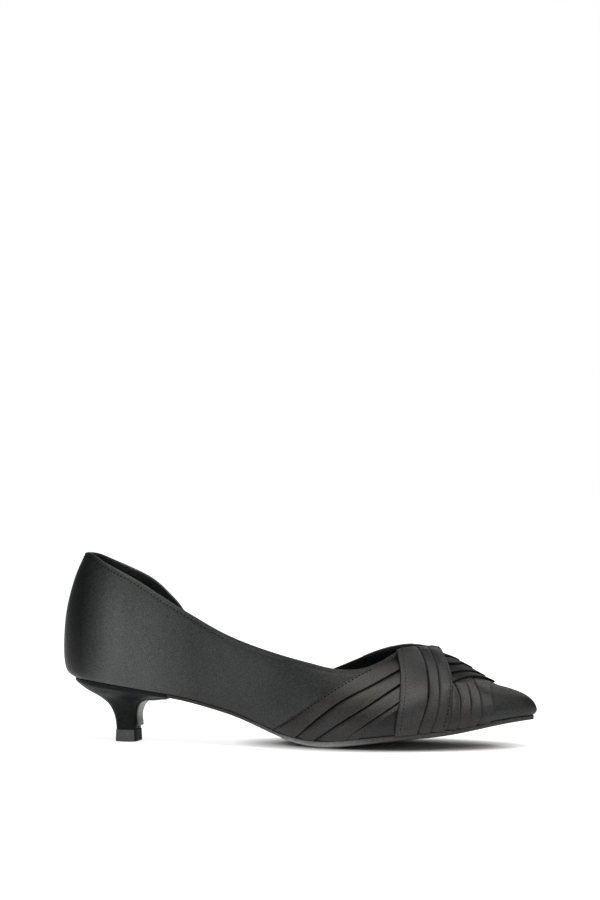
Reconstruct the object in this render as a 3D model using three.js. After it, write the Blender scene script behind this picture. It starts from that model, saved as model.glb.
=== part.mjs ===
// Kitten heel pump, right shoe: satin upper with crossed pleated bands, pointed toe and a low curved heel.
// Millimetres. +X runs from heel to toe, -Y is the lateral side, +Z is up and the floor is z = 0.
import * as THREE from 'three';

// Overall sizes of a shoe of size 38
const shoeLength = 265;
const ballWidth = 75.5;
const heelRise = 29.5;
const toeSpring = 11.9;
const quarterHeight = 69.8;
const instepHeight = 42.1;
const throatRatio = 1.658;
const toeLead = 5;

// Sole, insole and seat
const treadCrown = 3.6;
const soleCrown = 4.6;
const soleThickness = 2.2;
const insoleThickness = 2.4;
const clearance = 0.3;

// Upper and bands
const upperWall = 1.6;
const tuckReach = 0.07;
const bandThickness = 1.3;
const pleatDepth = 0.8;
const foldMargin = 0.25;
const liftMargin = 4.5;
const liftRamp = 7;
const bandGap = 0.5;
const uprightEnd = { lateral: 0.09, medial: 0.22 };

// Heel
const heelCentre = 40.5;
const heelLength = 64.5;
const heelTurn = 8;
const tipHeight = 6.8;
const coverThickness = 0.9;
const coverShare = 0.92;
const tipRim = 0.3;
const tipFlare = 0.3;
const columnWrap = 0.85;
const columnSquare = 0.65;

// Underside of the sole edge, as shares of shoe length, heel rise and toe spring
const edgeRows = [
  { at: 0.0, heel: 1.0, toe: 0.0 },
  { at: 0.085, heel: 0.976, toe: 0.0 },
  { at: 0.145, heel: 0.905, toe: 0.0 },
  { at: 0.209, heel: 0.814, toe: 0.0 },
  { at: 0.274, heel: 0.712, toe: 0.0 },
  { at: 0.326, heel: 0.594, toe: 0.0 },
  { at: 0.379, heel: 0.458, toe: 0.0 },
  { at: 0.428, heel: 0.292, toe: 0.0 },
  { at: 0.47, heel: 0.145, toe: 0.0 },
  { at: 0.515, heel: 0.045, toe: 0.0 },
  { at: 0.560, heel: 0.0, toe: 0.0 },
  { at: 0.613, heel: 0.0, toe: 0.06 },
  { at: 0.681, heel: 0.0, toe: 0.2 },
  { at: 0.75, heel: 0.0, toe: 0.32 },
  { at: 0.821, heel: 0.0, toe: 0.44 },
  { at: 0.87, heel: 0.0, toe: 0.6 },
  { at: 0.915, heel: 0.0, toe: 0.77 },
  { at: 0.95, heel: 0.0, toe: 0.885 },
  { at: 1.0, heel: 0.0, toe: 1.0 },
];

// How far the sole bows down across its width, as shares of shoe length and sole crown
const crownRows = [
  { at: 0.0, bow: 0.0 },
  { at: 0.25, bow: 0.0 },
  { at: 0.3, bow: 0.35 },
  { at: 0.36, bow: 0.55 },
  { at: 0.47, bow: 0.8 },
  { at: 0.56, bow: 1.0 },
  { at: 0.63, bow: 1.0 },
  { at: 0.75, bow: 0.75 },
  { at: 0.87, bow: 0.4 },
  { at: 1.0, bow: 0.0 },
];

// Sections of the last from the heel centre to the toe tip. at is a share of shoe length, lateral and medial
// of ball width, ridge of instep height and lead of toe lead. round sets the fullness of the sides, and tuck
// is how far they draw in at the feather line.
const sectionRows = [
  { at: 0.1528, lateral: 0.351, medial: 0.338, ridge: 1.852, lead: 0, round: 0.62, tuck: 0.1 },
  { at: 0.2358, lateral: 0.342, medial: 0.291, ridge: 1.758, lead: 0, round: 0.5, tuck: 0.09 },
  { at: 0.3189, lateral: 0.331, medial: 0.228, ridge: 1.698, lead: 0, round: 0.44, tuck: 0.08 },
  { at: 0.3943, lateral: 0.354, medial: 0.256, ridge: 1.698, lead: 0, round: 0.55, tuck: 0.08 },
  { at: 0.4623, lateral: 0.411, medial: 0.338, ridge: 1.734, lead: 0, round: 0.9, tuck: 0.075 },
  { at: 0.5302, lateral: 0.494, medial: 0.408, ridge: 1.71, lead: 0, round: 1.3, tuck: 0.07 },
  { at: 0.5981, lateral: 0.539, medial: 0.442, ridge: 1.568, lead: 0, round: 1.55, tuck: 0.065 },
  { at: 0.6585, lateral: 0.532, medial: 0.445, ridge: 1.39, lead: 0, round: 1.5, tuck: 0.065 },
  { at: 0.7189, lateral: 0.481, medial: 0.408, ridge: 1.212, lead: 0, round: 1.35, tuck: 0.07 },
  { at: 0.7755, lateral: 0.407, medial: 0.348, ridge: 1.026, lead: 0, round: 1.2, tuck: 0.075 },
  { at: 0.8208, lateral: 0.338, medial: 0.291, ridge: 0.886, lead: 0.05, round: 1.1, tuck: 0.08 },
  { at: 0.8585, lateral: 0.2755, medial: 0.244, ridge: 0.708, lead: 0.25, round: 1.02, tuck: 0.09 },
  { at: 0.8962, lateral: 0.209, medial: 0.189, ridge: 0.493, lead: 0.6, round: 0.95, tuck: 0.1 },
  { at: 0.9189, lateral: 0.167, medial: 0.154, ridge: 0.412, lead: 0.8, round: 0.92, tuck: 0.1 },
  { at: 0.9396, lateral: 0.1285, medial: 0.122, ridge: 0.348, lead: 0.93, round: 0.9, tuck: 0.1 },
  { at: 0.9566, lateral: 0.098, medial: 0.094, ridge: 0.284, lead: 1.0, round: 0.9, tuck: 0.1 },
  { at: 0.9709, lateral: 0.073, medial: 0.0715, ridge: 0.212, lead: 0.96, round: 0.9, tuck: 0.1 },
  { at: 0.9815, lateral: 0.052, medial: 0.0515, ridge: 0.145, lead: 0.8, round: 0.9, tuck: 0.1 },
  { at: 0.9883, lateral: 0.033, medial: 0.033, ridge: 0.083, lead: 0.62, round: 0.9, tuck: 0.1 },
  { at: 0.9921, lateral: 0.016, medial: 0.016, ridge: 0.036, lead: 0.38, round: 0.9, tuck: 0.1 },
  { at: 0.9936, lateral: 0.0, medial: 0.0, ridge: 0.0, lead: 0.0, round: 0.9, tuck: 0.1 },
];

// Back of the heel: how far in from its rearmost point, as shares of quarter height and heel centre
const backRows = [
  { up: 0.0, inward: 0.2 },
  { up: 0.03, inward: 0.115 },
  { up: 0.08, inward: 0.058 },
  { up: 0.175, inward: 0.032 },
  { up: 0.3, inward: 0.03 },
  { up: 0.43, inward: 0.042 },
  { up: 0.56, inward: 0.072 },
  { up: 0.69, inward: 0.124 },
  { up: 0.82, inward: 0.194 },
  { up: 0.95, inward: 0.29 },
  { up: 1.05, inward: 0.37 },
];

// Heel rings from the seat down to the tip. back and backUp place the rear of a ring, front and frontUp its
// breast, as shares of heel length and heel height; half is a share of ball width. shaped goes from the
// outline of the seat at 0 to the squared column at 1.
const heelRows = [
  { back: 0.121, backUp: 1.0, front: 1.0, frontUp: 0.776, half: 0.348, shaped: 0 },
  { back: 0.126, backUp: 0.963, front: 0.99, frontUp: 0.75, half: 0.34, shaped: 0 },
  { back: 0.157, backUp: 0.912, front: 0.945, frontUp: 0.738, half: 0.31, shaped: 0.1 },
  { back: 0.219, backUp: 0.829, front: 0.878, frontUp: 0.714, half: 0.264, shaped: 0.28 },
  { back: 0.286, backUp: 0.762, front: 0.812, frontUp: 0.701, half: 0.22, shaped: 0.48 },
  { back: 0.352, backUp: 0.691, front: 0.75, frontUp: 0.673, half: 0.175, shaped: 0.68 },
  { back: 0.412, backUp: 0.601, front: 0.704, frontUp: 0.604, half: 0.137, shaped: 0.84 },
  { back: 0.45, backUp: 0.497, front: 0.68, frontUp: 0.503, half: 0.113, shaped: 0.94 },
  { back: 0.475, backUp: 0.365, front: 0.67, frontUp: 0.367, half: 0.099, shaped: 1 },
  { back: 0.486, backUp: 0.201, front: 0.672, frontUp: 0.201, half: 0.092, shaped: 1 },
];

// Height of the top line above the heel seat on each side, as shares of shoe length and quarter height
const toplineRows = {
  lateral: [
    { at: 0.045, up: 0.99 },
    { at: 0.062, up: 0.99 },
    { at: 0.085, up: 0.955 },
    { at: 0.12, up: 0.893 },
    { at: 0.154, up: 0.83 },
    { at: 0.19, up: 0.753 },
    { at: 0.224, up: 0.672 },
    { at: 0.265, up: 0.577 },
    { at: 0.305, up: 0.488 },
    { at: 0.355, up: 0.384 },
    { at: 0.397, up: 0.317 },
    { at: 0.45, up: 0.25 },
    { at: 0.505, up: 0.194 },
    { at: 0.545, up: 0.159 },
    { at: 0.59, up: 0.122 },
    { at: 0.62, up: 0.113 },
    { at: 0.65, up: 0.122 },
    { at: 0.68, up: 0.16 },
    { at: 0.7, up: 0.2 },
    { at: 0.716, up: 0.236 },
    { at: 0.735, up: 0.251 },
    { at: 0.755, up: 0.251 },
    { at: 0.79, up: 0.236 },
  ],
  medial: [
    { at: 0.045, up: 0.99 },
    { at: 0.062, up: 0.98 },
    { at: 0.085, up: 0.945 },
    { at: 0.12, up: 0.883 },
    { at: 0.154, up: 0.819 },
    { at: 0.18, up: 0.763 },
    { at: 0.2, up: 0.7 },
    { at: 0.217, up: 0.636 },
    { at: 0.235, up: 0.563 },
    { at: 0.257, up: 0.425 },
    { at: 0.28, up: 0.235 },
    { at: 0.302, up: 0.06 },
    { at: 0.325, up: -0.055 },
    { at: 0.352, up: -0.118 },
    { at: 0.385, up: -0.15 },
    { at: 0.42, up: -0.148 },
    { at: 0.46, up: -0.112 },
    { at: 0.51, up: -0.038 },
    { at: 0.56, up: 0.038 },
    { at: 0.61, up: 0.12 },
    { at: 0.65, up: 0.186 },
    { at: 0.69, up: 0.238 },
    { at: 0.735, up: 0.268 },
    { at: 0.765, up: 0.262 },
    { at: 0.79, up: 0.242 },
  ],
};

// Folds of the pleated bands. place runs over the upper from -1 at the lateral feather line through 0 on the
// ridge to 1 at the medial feather line, and each fold's place along the shoe is a share of shoe length.
const overBandRows = [
  { place: -1, a: 0.72, b: 0.762, c: 0.787, d: 0.817 },
  { place: -0.85, a: 0.726, b: 0.773, c: 0.799, d: 0.827 },
  { place: -0.7, a: 0.729, b: 0.78, c: 0.803, d: 0.83 },
  { place: -0.55, a: 0.727, b: 0.778, c: 0.802, d: 0.829 },
  { place: -0.4, a: 0.718, b: 0.769, c: 0.796, d: 0.822 },
  { place: -0.25, a: 0.713, b: 0.752, c: 0.78, d: 0.811 },
  { place: -0.1, a: 0.709, b: 0.736, c: 0.766, d: 0.801 },
  { place: 0, a: 0.704, b: 0.728, c: 0.758, d: 0.796 },
  { place: 0.15, a: 0.689, b: 0.717, c: 0.746, d: 0.788 },
  { place: 0.3, a: 0.677, b: 0.707, c: 0.737, d: 0.775 },
  { place: 0.45, a: 0.655, b: 0.69, c: 0.723, d: 0.76 },
  { place: 0.6, a: 0.62, b: 0.666, c: 0.703, d: 0.74 },
  { place: 0.75, a: 0.572, b: 0.628, c: 0.675, d: 0.711 },
  { place: 0.9, a: 0.508, b: 0.564, c: 0.625, d: 0.674 },
  { place: 1, a: 0.466, b: 0.523, c: 0.568, d: 0.636 },
];
const underBandRows = [
  { place: -1, a: 0.466, b: 0.517, c: 0.551, d: 0.617, e: 0.643 },
  { place: -0.9, a: 0.515, b: 0.56, c: 0.613, d: 0.67, e: 0.692 },
  { place: -0.8, a: 0.562, b: 0.608, c: 0.668, d: 0.717, e: 0.736 },
  { place: -0.7, a: 0.611, b: 0.662, c: 0.709, d: 0.749, e: 0.766 },
  { place: -0.6, a: 0.655, b: 0.702, c: 0.742, d: 0.777, e: 0.798 },
  { place: -0.5, a: 0.696, b: 0.732, c: 0.768, d: 0.804, e: 0.832 },
  { place: -0.4, a: 0.719, b: 0.755, c: 0.794, d: 0.828, e: 0.851 },
  { place: -0.3, a: 0.742, b: 0.775, c: 0.815, d: 0.845, e: 0.864 },
  { place: -0.2, a: 0.764, b: 0.796, c: 0.836, d: 0.858, e: 0.877 },
  { place: -0.1, a: 0.783, b: 0.815, c: 0.845, d: 0.868, e: 0.888 },
  { place: 0, a: 0.802, b: 0.832, c: 0.857, d: 0.879, e: 0.896 },
  { place: 0.15, a: 0.802, b: 0.836, c: 0.858, d: 0.881, e: 0.899 },
  { place: 0.4, a: 0.772, b: 0.802, c: 0.828, d: 0.851, e: 0.872 },
  { place: 0.7, a: 0.742, b: 0.77, c: 0.796, d: 0.825, e: 0.847 },
  { place: 1, a: 0.719, b: 0.745, c: 0.77, d: 0.798, e: 0.825 },
];
const uprightPleatRows = [
  { place: 1, a: 0.822, b: 0.841, c: 0.858, d: 0.879, e: 0.9067 },
  { place: 0.9, a: 0.83, b: 0.845, c: 0.866, d: 0.885, e: 0.9117 },
  { place: 0.8, a: 0.832, b: 0.846, c: 0.868, d: 0.886, e: 0.9117 },
  { place: 0.7, a: 0.832, b: 0.845, c: 0.867, d: 0.884, e: 0.9087 },
  { place: 0.6, a: 0.828, b: 0.84, c: 0.863, d: 0.881, e: 0.9057 },
  { place: 0.5, a: 0.822, b: 0.831, c: 0.858, d: 0.875, e: 0.9017 },
  { place: 0.4, a: 0.815, b: 0.821, c: 0.851, d: 0.867, e: 0.8987 },
  { place: 0.2, a: 0.805, b: 0.811, c: 0.841, d: 0.857, e: 0.8957 },
  { place: 0, a: 0.8, b: 0.806, c: 0.836, d: 0.852, e: 0.8947 },
];

// Cubic spline through the rows of a table, straight past its ends
function splineThrough(rows, across, up) {
  const x = rows.map((row, i) => (across ? row[across] : i));
  const y = rows.map((row) => row[up]);
  const last = x.length - 1;
  const bend = new Array(x.length).fill(0);
  const carry = new Array(x.length).fill(0);
  for (let i = 1; i < last; i += 1) {
    const share = (x[i] - x[i - 1]) / (x[i + 1] - x[i - 1]);
    const pivot = share * bend[i - 1] + 2;
    const turn = (y[i + 1] - y[i]) / (x[i + 1] - x[i]) - (y[i] - y[i - 1]) / (x[i] - x[i - 1]);
    bend[i] = (share - 1) / pivot;
    carry[i] = ((6 * turn) / (x[i + 1] - x[i - 1]) - share * carry[i - 1]) / pivot;
  }
  bend[last] = 0;
  for (let i = last - 1; i >= 0; i -= 1) {
    bend[i] = bend[i] * bend[i + 1] + carry[i];
  }
  return (value) => {
    let i = 0;
    while (i < last - 1 && value > x[i + 1]) i += 1;
    const step = x[i + 1] - x[i];
    const right = (value - x[i]) / step;
    const left = 1 - right;
    if (value < x[0] || value > x[last]) {
      const end = value < x[0] ? 0 : last;
      const from = end === 0 ? 0 : last - 1;
      const span = x[from + 1] - x[from];
      const pull = end === 0 ? -(2 * bend[0] + bend[1]) : bend[last - 1] + 2 * bend[last];
      const slope = (y[from + 1] - y[from]) / span + (pull * span) / 6;
      return y[end] + slope * (value - x[end]);
    }
    const curl = ((left ** 3 - left) * bend[i] + (right ** 3 - right) * bend[i + 1]) * step * step;
    return left * y[i] + right * y[i + 1] + curl / 6;
  };
}

const halfLength = shoeLength / 2;
const shareAt = (x) => (x + halfLength) / shoeLength;
const heelShare = splineThrough(edgeRows, 'at', 'heel');
const toeShare = splineThrough(edgeRows, 'at', 'toe');
const crownShare = splineThrough(crownRows, 'at', 'bow');

// Underside of the sole edge, and the feather line where the upper meets the sole
function soleEdge(x) {
  const at = shareAt(x);
  return treadCrown + heelRise * heelShare(at) + toeSpring * toeShare(at);
}
const featherLine = (x) => soleEdge(x) + soleThickness + clearance;

const sectionColumns = {};
for (const column of ['at', 'lateral', 'medial', 'ridge', 'lead', 'round', 'tuck']) {
  sectionColumns[column] = splineThrough(sectionRows, null, column);
}
const lastSection = sectionRows.length - 1;
const toeSection = 12;
const backTopShare = 0.95;
const heelRoundness = 0.9;
const lowestOpenSection = { lateral: 6.4, medial: 4.3 };
const throatSections = { from: 7, to: 10 };
const backInward = splineThrough(backRows, 'up', 'inward');
const topline = {
  lateral: splineThrough(toplineRows.lateral, 'at', 'up'),
  medial: splineThrough(toplineRows.medial, 'at', 'up'),
};
const tipDirection = new THREE.Vector3(0.96, 0, -0.28).normalize();
const sideSign = { lateral: -1, medial: 1 };
const otherSide = { lateral: 'medial', medial: 'lateral' };

// One section of the last at station t: 0 is the heel centre, the last row the toe tip
function sectionAt(t) {
  const x = shoeLength * sectionColumns.at(t) - halfLength;
  return {
    x,
    feather: featherLine(x),
    lateral: ballWidth * Math.max(sectionColumns.lateral(t), 0),
    medial: ballWidth * Math.max(sectionColumns.medial(t), 0),
    ridge: instepHeight * Math.max(sectionColumns.ridge(t), 0),
    lead: toeLead * sectionColumns.lead(t),
    round: sectionColumns.round(t),
    tuck: sectionColumns.tuck(t),
  };
}
const heelSection = sectionAt(0);
const heelRadius = heelSection.x + halfLength;

// Half width of a section at the angle that the sides have turned through, from feather line to ridge
function halfWidth(section, side, angle, rise) {
  const full = section[side] / (1 - section.tuck);
  const reach = Math.max(tuckReach * section.ridge, 0.01);
  const drawn = 1 - section.tuck * Math.exp(-rise / reach);
  return full * Math.max(Math.cos(angle), 0) ** section.round * drawn;
}

// Outer surface of the upper. t from -1 to 0 turns around the back of the heel, and above 0 it runs to the
// toe. climb is 0 at the feather line and 1 at the ridge, and the ridge and the heel back are shared.
function lastPoint(side, t, climb) {
  if (climb > 1) return lastPoint(otherSide[side], t, 2 - climb);
  if (t < -1) return lastPoint(otherSide[side], -2 - t, climb);
  const angle = (climb * Math.PI) / 2;
  if (t >= 0) {
    const section = sectionAt(Math.min(t, lastSection));
    const rise = section.ridge * Math.sin(angle);
    const y = sideSign[side] * halfWidth(section, side, angle, rise);
    return new THREE.Vector3(section.x + section.lead * Math.sin(angle), y, section.feather + rise);
  }
  const around = ((1 + t) * Math.PI) / 2;
  const forward = 1 - Math.cos(around);
  const backFoot = -halfLength + heelCentre * backInward(0);
  const feather = featherLine(backFoot + (heelSection.x - backFoot) * forward);
  const rise = (heelSection.feather + heelSection.ridge - feather) * Math.sin(angle);
  const back = -halfLength + heelCentre * backInward(rise / quarterHeight);
  const y = sideSign[side] * halfWidth(heelSection, side, angle, rise) * Math.sin(around) ** heelRoundness;
  return new THREE.Vector3(back + (heelSection.x - back) * forward, y, feather + rise);
}

// Outward direction of that surface
function lastNormal(side, t, climb) {
  const small = 0.004;
  if (t > lastSection - small) return tipDirection.clone();
  const along = lastPoint(side, t + small, climb).sub(lastPoint(side, t - small, climb));
  const across = lastPoint(side, t, climb + small).sub(lastPoint(side, t, Math.max(climb - small, 0)));
  const normal = along.cross(across).normalize();
  return side === 'lateral' ? normal : normal.negate();
}

// Station of the last that stands over a given length
function stationAt(x) {
  const share = shareAt(x);
  let low = 0;
  let high = lastSection;
  for (let i = 0; i < 40; i += 1) {
    const middle = (low + high) / 2;
    if (sectionColumns.at(middle) < share) low = middle;
    else high = middle;
  }
  return (low + high) / 2;
}

// Height that the top line is a share of: the quarter at the rear, and the instep near the throat
function toplineMeasure(x) {
  const front = THREE.MathUtils.smoothstep(shareAt(x), 0.45, 0.65);
  return quarterHeight * (1 - front) + instepHeight * throatRatio * front;
}

// How far up a section the top line lies on one side: 0 at the feather line and 1 where the vamp closes
function toplineClimb(side, t) {
  const foot = lastPoint(side, t, 0);
  const over = lastPoint(side, t, 1).z - foot.z;
  const rise = toplineHeight(side, t) - foot.z;
  return rise >= over ? 1 : (Math.asin(Math.max(rise, 0) / over) * 2) / Math.PI;
}
function toplineHeight(side, t) {
  const seat = featherLine(-halfLength);
  const inward = 1 - Math.cos(((1 + Math.min(t, 0)) * Math.PI) / 2);
  const backTop = -halfLength + heelCentre * backInward(backTopShare);
  const x = t >= 0 ? sectionAt(t).x : backTop + (heelSection.x - backTop) * inward;
  return seat + toplineMeasure(x) * topline[side](shareAt(x));
}

// The station of the throat, where the top line of one side reaches the ridge
function throatStation(side) {
  let low = throatSections.from;
  let high = throatSections.to;
  for (let i = 0; i < 40; i += 1) {
    const middle = (low + high) / 2;
    if (toplineClimb(side, middle) < 1) low = middle;
    else high = middle;
  }
  return high;
}

// A skin of triangles over shared corners; triangles with two corners in one place are left out
function startSkin() {
  const places = [];
  const known = new Map();
  const triangles = [];
  const corner = (point) => {
    const key = [point.x, point.y, point.z].map((value) => Math.round(value * 2000)).join(',');
    if (!known.has(key)) {
      known.set(key, places.length / 3);
      places.push(point.x, point.y, point.z);
    }
    return known.get(key);
  };
  const triangle = (a, b, c) => {
    const [i, j, k] = [corner(a), corner(b), corner(c)];
    if (i !== j && j !== k && k !== i) triangles.push(i, j, k);
  };
  const quad = (a, b, c, d) => {
    triangle(a, b, c);
    triangle(a, c, d);
  };
  const geometry = () => {
    const skin = new THREE.BufferGeometry();
    skin.setAttribute('position', new THREE.Float32BufferAttribute(places, 3));
    skin.setIndex(triangles);
    return skin;
  };
  return { triangle, quad, geometry };
}

// Two like grids of points, an outer and an inner one, closed around their edges into one solid
function closedSheet(outer, inner) {
  const skin = startSkin();
  const rows = outer.length;
  const columns = outer[0].length;
  for (let i = 1; i < rows; i += 1) {
    for (let j = 1; j < columns; j += 1) {
      skin.quad(outer[i - 1][j - 1], outer[i][j - 1], outer[i][j], outer[i - 1][j]);
      skin.quad(inner[i - 1][j - 1], inner[i - 1][j], inner[i][j], inner[i][j - 1]);
    }
    const end = columns - 1;
    skin.quad(outer[i][0], outer[i - 1][0], inner[i - 1][0], inner[i][0]);
    skin.quad(outer[i - 1][end], outer[i][end], inner[i][end], inner[i - 1][end]);
  }
  for (let j = 1; j < columns; j += 1) {
    const end = rows - 1;
    skin.quad(outer[0][j - 1], outer[0][j], inner[0][j], inner[0][j - 1]);
    skin.quad(outer[end][j], outer[end][j - 1], inner[end][j - 1], inner[end][j]);
  }
  return skin.geometry();
}

// Evenly spaced values, both ends counted
function spaced(from, to, steps) {
  return Array.from({ length: steps + 1 }, (_, i) => from + ((to - from) * i) / steps);
}

// Stations around the heel and along the shoe, closer where the top line dives or the toe rounds off
function stationsTo(end) {
  const body = [...spaced(0, 3, 14), ...spaced(3, 7, 8).slice(1)];
  const front = spaced(7, end, 7).slice(1);
  return [...spaced(-1, 0, 9).slice(0, -1), ...body, ...front];
}

// The upper: one shell with a wall, open at the top line and underneath
function upperGeometry() {
  const throat = throatStation('lateral');
  const throatMedial = throatStation('medial');
  const instepStations = spaced(throat, toeSection, 4).slice(1);
  const vampStations = [...instepStations, ...spaced(toeSection, lastSection, 13).slice(1)];
  const climbSteps = 9;
  const sides = {};
  for (const side of ['lateral', 'medial']) {
    const open = stationsTo(side === 'lateral' ? throat : Math.min(throatMedial, throat));
    if (side === 'medial') open[open.length - 1] = throat;
    sides[side] = [...open, ...vampStations].map((t) => {
      const top = t >= throat ? 1 : toplineClimb(side, t);
      const climbs = spaced(0, 1, climbSteps).map((share) => top * climbSpread(share, top));
      const outer = climbs.map((climb) => lastPoint(side, t, climb));
      const inner = climbs.map((climb, i) => {
        return outer[i].clone().addScaledVector(lastNormal(side, t, climb), -upperWall);
      });
      return { outer, inner, open: t < throat };
    });
  }
  const around = [...sides.lateral.reverse(), ...sides.medial.slice(1)];
  const skin = startSkin();
  for (let i = 1; i < around.length; i += 1) {
    const [from, to] = [around[i - 1], around[i]];
    for (let j = 1; j <= climbSteps; j += 1) {
      skin.quad(from.outer[j - 1], from.outer[j], to.outer[j], to.outer[j - 1]);
      skin.quad(from.inner[j - 1], to.inner[j - 1], to.inner[j], from.inner[j]);
    }
    skin.quad(from.outer[0], to.outer[0], to.inner[0], from.inner[0]);
    if (from.open || to.open) {
      skin.quad(from.outer[climbSteps], from.inner[climbSteps], to.inner[climbSteps], to.outer[climbSteps]);
    }
  }
  return skin.geometry();
}

// Spreads the rows of a section: closer at the feather line, where the sides draw in
function climbSpread(share, top) {
  const tight = 0.6 * top;
  return share * (1 - tight) + share * share * tight;
}

// Bottom and top surfaces of the sole, bowed down across their width
function bowAt(x, y) {
  const section = sectionAt(stationAt(x));
  const half = Math.max(y < 0 ? section.lateral : section.medial, 0.01);
  const across = Math.min(Math.abs(y) / half, 1);
  return soleCrown * Math.max(crownShare(shareAt(x)), 0) * (1 - across * across);
}
const soleBottom = (x, y) => Math.max(soleEdge(x) - bowAt(x, y), 0);
const soleTop = (x, y) => soleBottom(x, y) + soleThickness;

// A slab between two edges, with its top and bottom heights given over the plan
function slab(edges, steps, topHeight, bottomHeight) {
  const grid = (height) => edges.map(([lateral, medial]) => spaced(0, 1, steps).map((share) => {
    const x = lateral.x + (medial.x - lateral.x) * share;
    const y = lateral.y + (medial.y - lateral.y) * share;
    return new THREE.Vector3(x, y, height(x, y));
  }));
  return closedSheet(grid(topHeight), grid(bottomHeight));
}

const heelEnd = -halfLength + heelLength;

// The outsole: from the front of the heel to the toe tip
function outsoleGeometry() {
  const start = stationAt(heelEnd + clearance);
  const stations = [...spaced(start, toeSection, 24), ...spaced(toeSection, lastSection, 10).slice(1)];
  const edges = stations.map((t) => [lastPoint('lateral', t, 0), lastPoint('medial', t, 0)]);
  return slab(edges, 8, soleTop, soleBottom);
}

// A point of the feather line moved inward in plan
function insideFeather(side, t, inset) {
  const small = 0.01;
  const point = lastPoint(side, t, 0);
  const before = lastPoint(side, t - small, 0);
  const after = t + small > lastSection ? lastPoint(otherSide[side], 2 * lastSection - t - small, 0)
    : lastPoint(side, t + small, 0);
  const along = after.sub(before).setZ(0).normalize();
  const turn = sideSign[side];
  return new THREE.Vector3(point.x - along.y * turn * -inset, point.y - along.x * turn * inset, 0);
}

// The insole: lies inside the wall of the upper, on the sole and the heel seat
function insoleGeometry() {
  const around = spaced(-1, 0, 8).slice(0, -1);
  const middle = spaced(0, toeSection, 20);
  const stations = [...around, ...middle, ...spaced(toeSection, lastSection, 8).slice(1)];
  const inset = upperWall + 2 * clearance;
  const edges = stations.map((t) => [insideFeather('lateral', t, inset), insideFeather('medial', t, inset)]);
  const bottom = (x, y) => soleTop(x, y) + clearance;
  return slab(edges, 8, (x, y) => bottom(x, y) + insoleThickness, bottom);
}

// A point of the heel on ring level, at turn: 0 is its rear, -1 the lateral and 1 the medial breast corner
const heelColumn = {};
for (const column of ['back', 'backUp', 'front', 'frontUp', 'half', 'shaped']) {
  heelColumn[column] = splineThrough(heelRows, null, column);
}
const heelHeight = soleTop(-halfLength, 0);
const lastRing = heelRows.length - 1;
const heelStation = stationAt(heelEnd);
const seatFront = lastPoint('lateral', heelStation, 0).x;
const seatBack = lastPoint('lateral', -1, 0).x;

const roundedCosine = (angle) => Math.sign(Math.cos(angle)) * Math.abs(Math.cos(angle)) ** columnSquare;

function heelPoint(level, turn) {
  const side = turn < 0 ? 'lateral' : 'medial';
  const seat = lastPoint(side, -1 + Math.abs(turn) * (heelStation + 1), 0);
  const half = ballWidth * heelColumn.half(level);
  const squared = Math.PI * Math.abs(turn) * columnWrap;
  const frontShare = (1 - roundedCosine(squared)) / (1 - roundedCosine(Math.PI * columnWrap));
  const shaped = heelColumn.shaped(level);
  const along = (seat.x - seatBack) / (seatFront - seatBack) * (1 - shaped) + frontShare * shaped;
  const seatWide = seat.y / (ballWidth * heelRows[0].half);
  const columnWide = Math.sign(turn) * Math.sin(squared) ** columnSquare;
  const wide = seatWide * (1 - shaped) + columnWide * shaped;
  const back = -halfLength + heelLength * heelColumn.back(level);
  const front = -halfLength + heelLength * heelColumn.front(level);
  const low = heelHeight * heelColumn.backUp(level);
  const point = new THREE.Vector3(
    back + (front - back) * along,
    half * wide,
    low + (heelHeight * heelColumn.frontUp(level) - low) * along,
  );
  if (level === 0) point.z = soleTop(point.x, point.y);
  const pivot = new THREE.Vector3((back + front) / 2, 0, point.z);
  const turned = new THREE.Vector3(0, 0, 1);
  return point.sub(pivot).applyAxisAngle(turned, -THREE.MathUtils.degToRad(heelTurn) * shaped).add(pivot);
}
// A solid of rings, capped by strips between their two sides
function ringSolid(rings) {
  const skin = startSkin();
  const count = rings[0].length;
  const last = rings.length - 1;
  for (let k = 1; k <= last; k += 1) {
    for (let i = 0; i < count; i += 1) {
      const next = (i + 1) % count;
      skin.quad(rings[k - 1][i], rings[k - 1][next], rings[k][next], rings[k][i]);
    }
  }
  for (let i = 0; i < count / 2 - 1; i += 1) {
    const other = count - 1 - i;
    skin.quad(rings[0][i], rings[0][other], rings[0][other - 1], rings[0][i + 1]);
    skin.quad(rings[last][other], rings[last][i], rings[last][i + 1], rings[last][other - 1]);
  }
  return skin.geometry();
}

// The heel: a seat that takes the outline of the upper, and a curved column
function heelGeometry() {
  const turns = spaced(-1, 1, 28);
  const levels = spaced(0, lastRing, 14);
  return ringSolid(levels.map((level) => turns.map((turn) => heelPoint(level, turn))));
}

// The top lift under the heel column, a little larger than the column
function tipGeometry() {
  const turns = spaced(-1, 1, 28);
  const foot = heelPoint(lastRing, 0).add(heelPoint(lastRing, -1)).add(heelPoint(lastRing, 1));
  const centre = foot.multiplyScalar(1 / 3);
  const ring = (height, grow) => turns.map((turn) => {
    const point = heelPoint(lastRing, turn);
    const out = point.clone().sub(centre).setZ(0).normalize().multiplyScalar(grow);
    return point.add(out).setZ(height);
  });
  return ringSolid([ring(tipHeight, tipRim), ring(0, tipRim + tipFlare)]);
}

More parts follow.
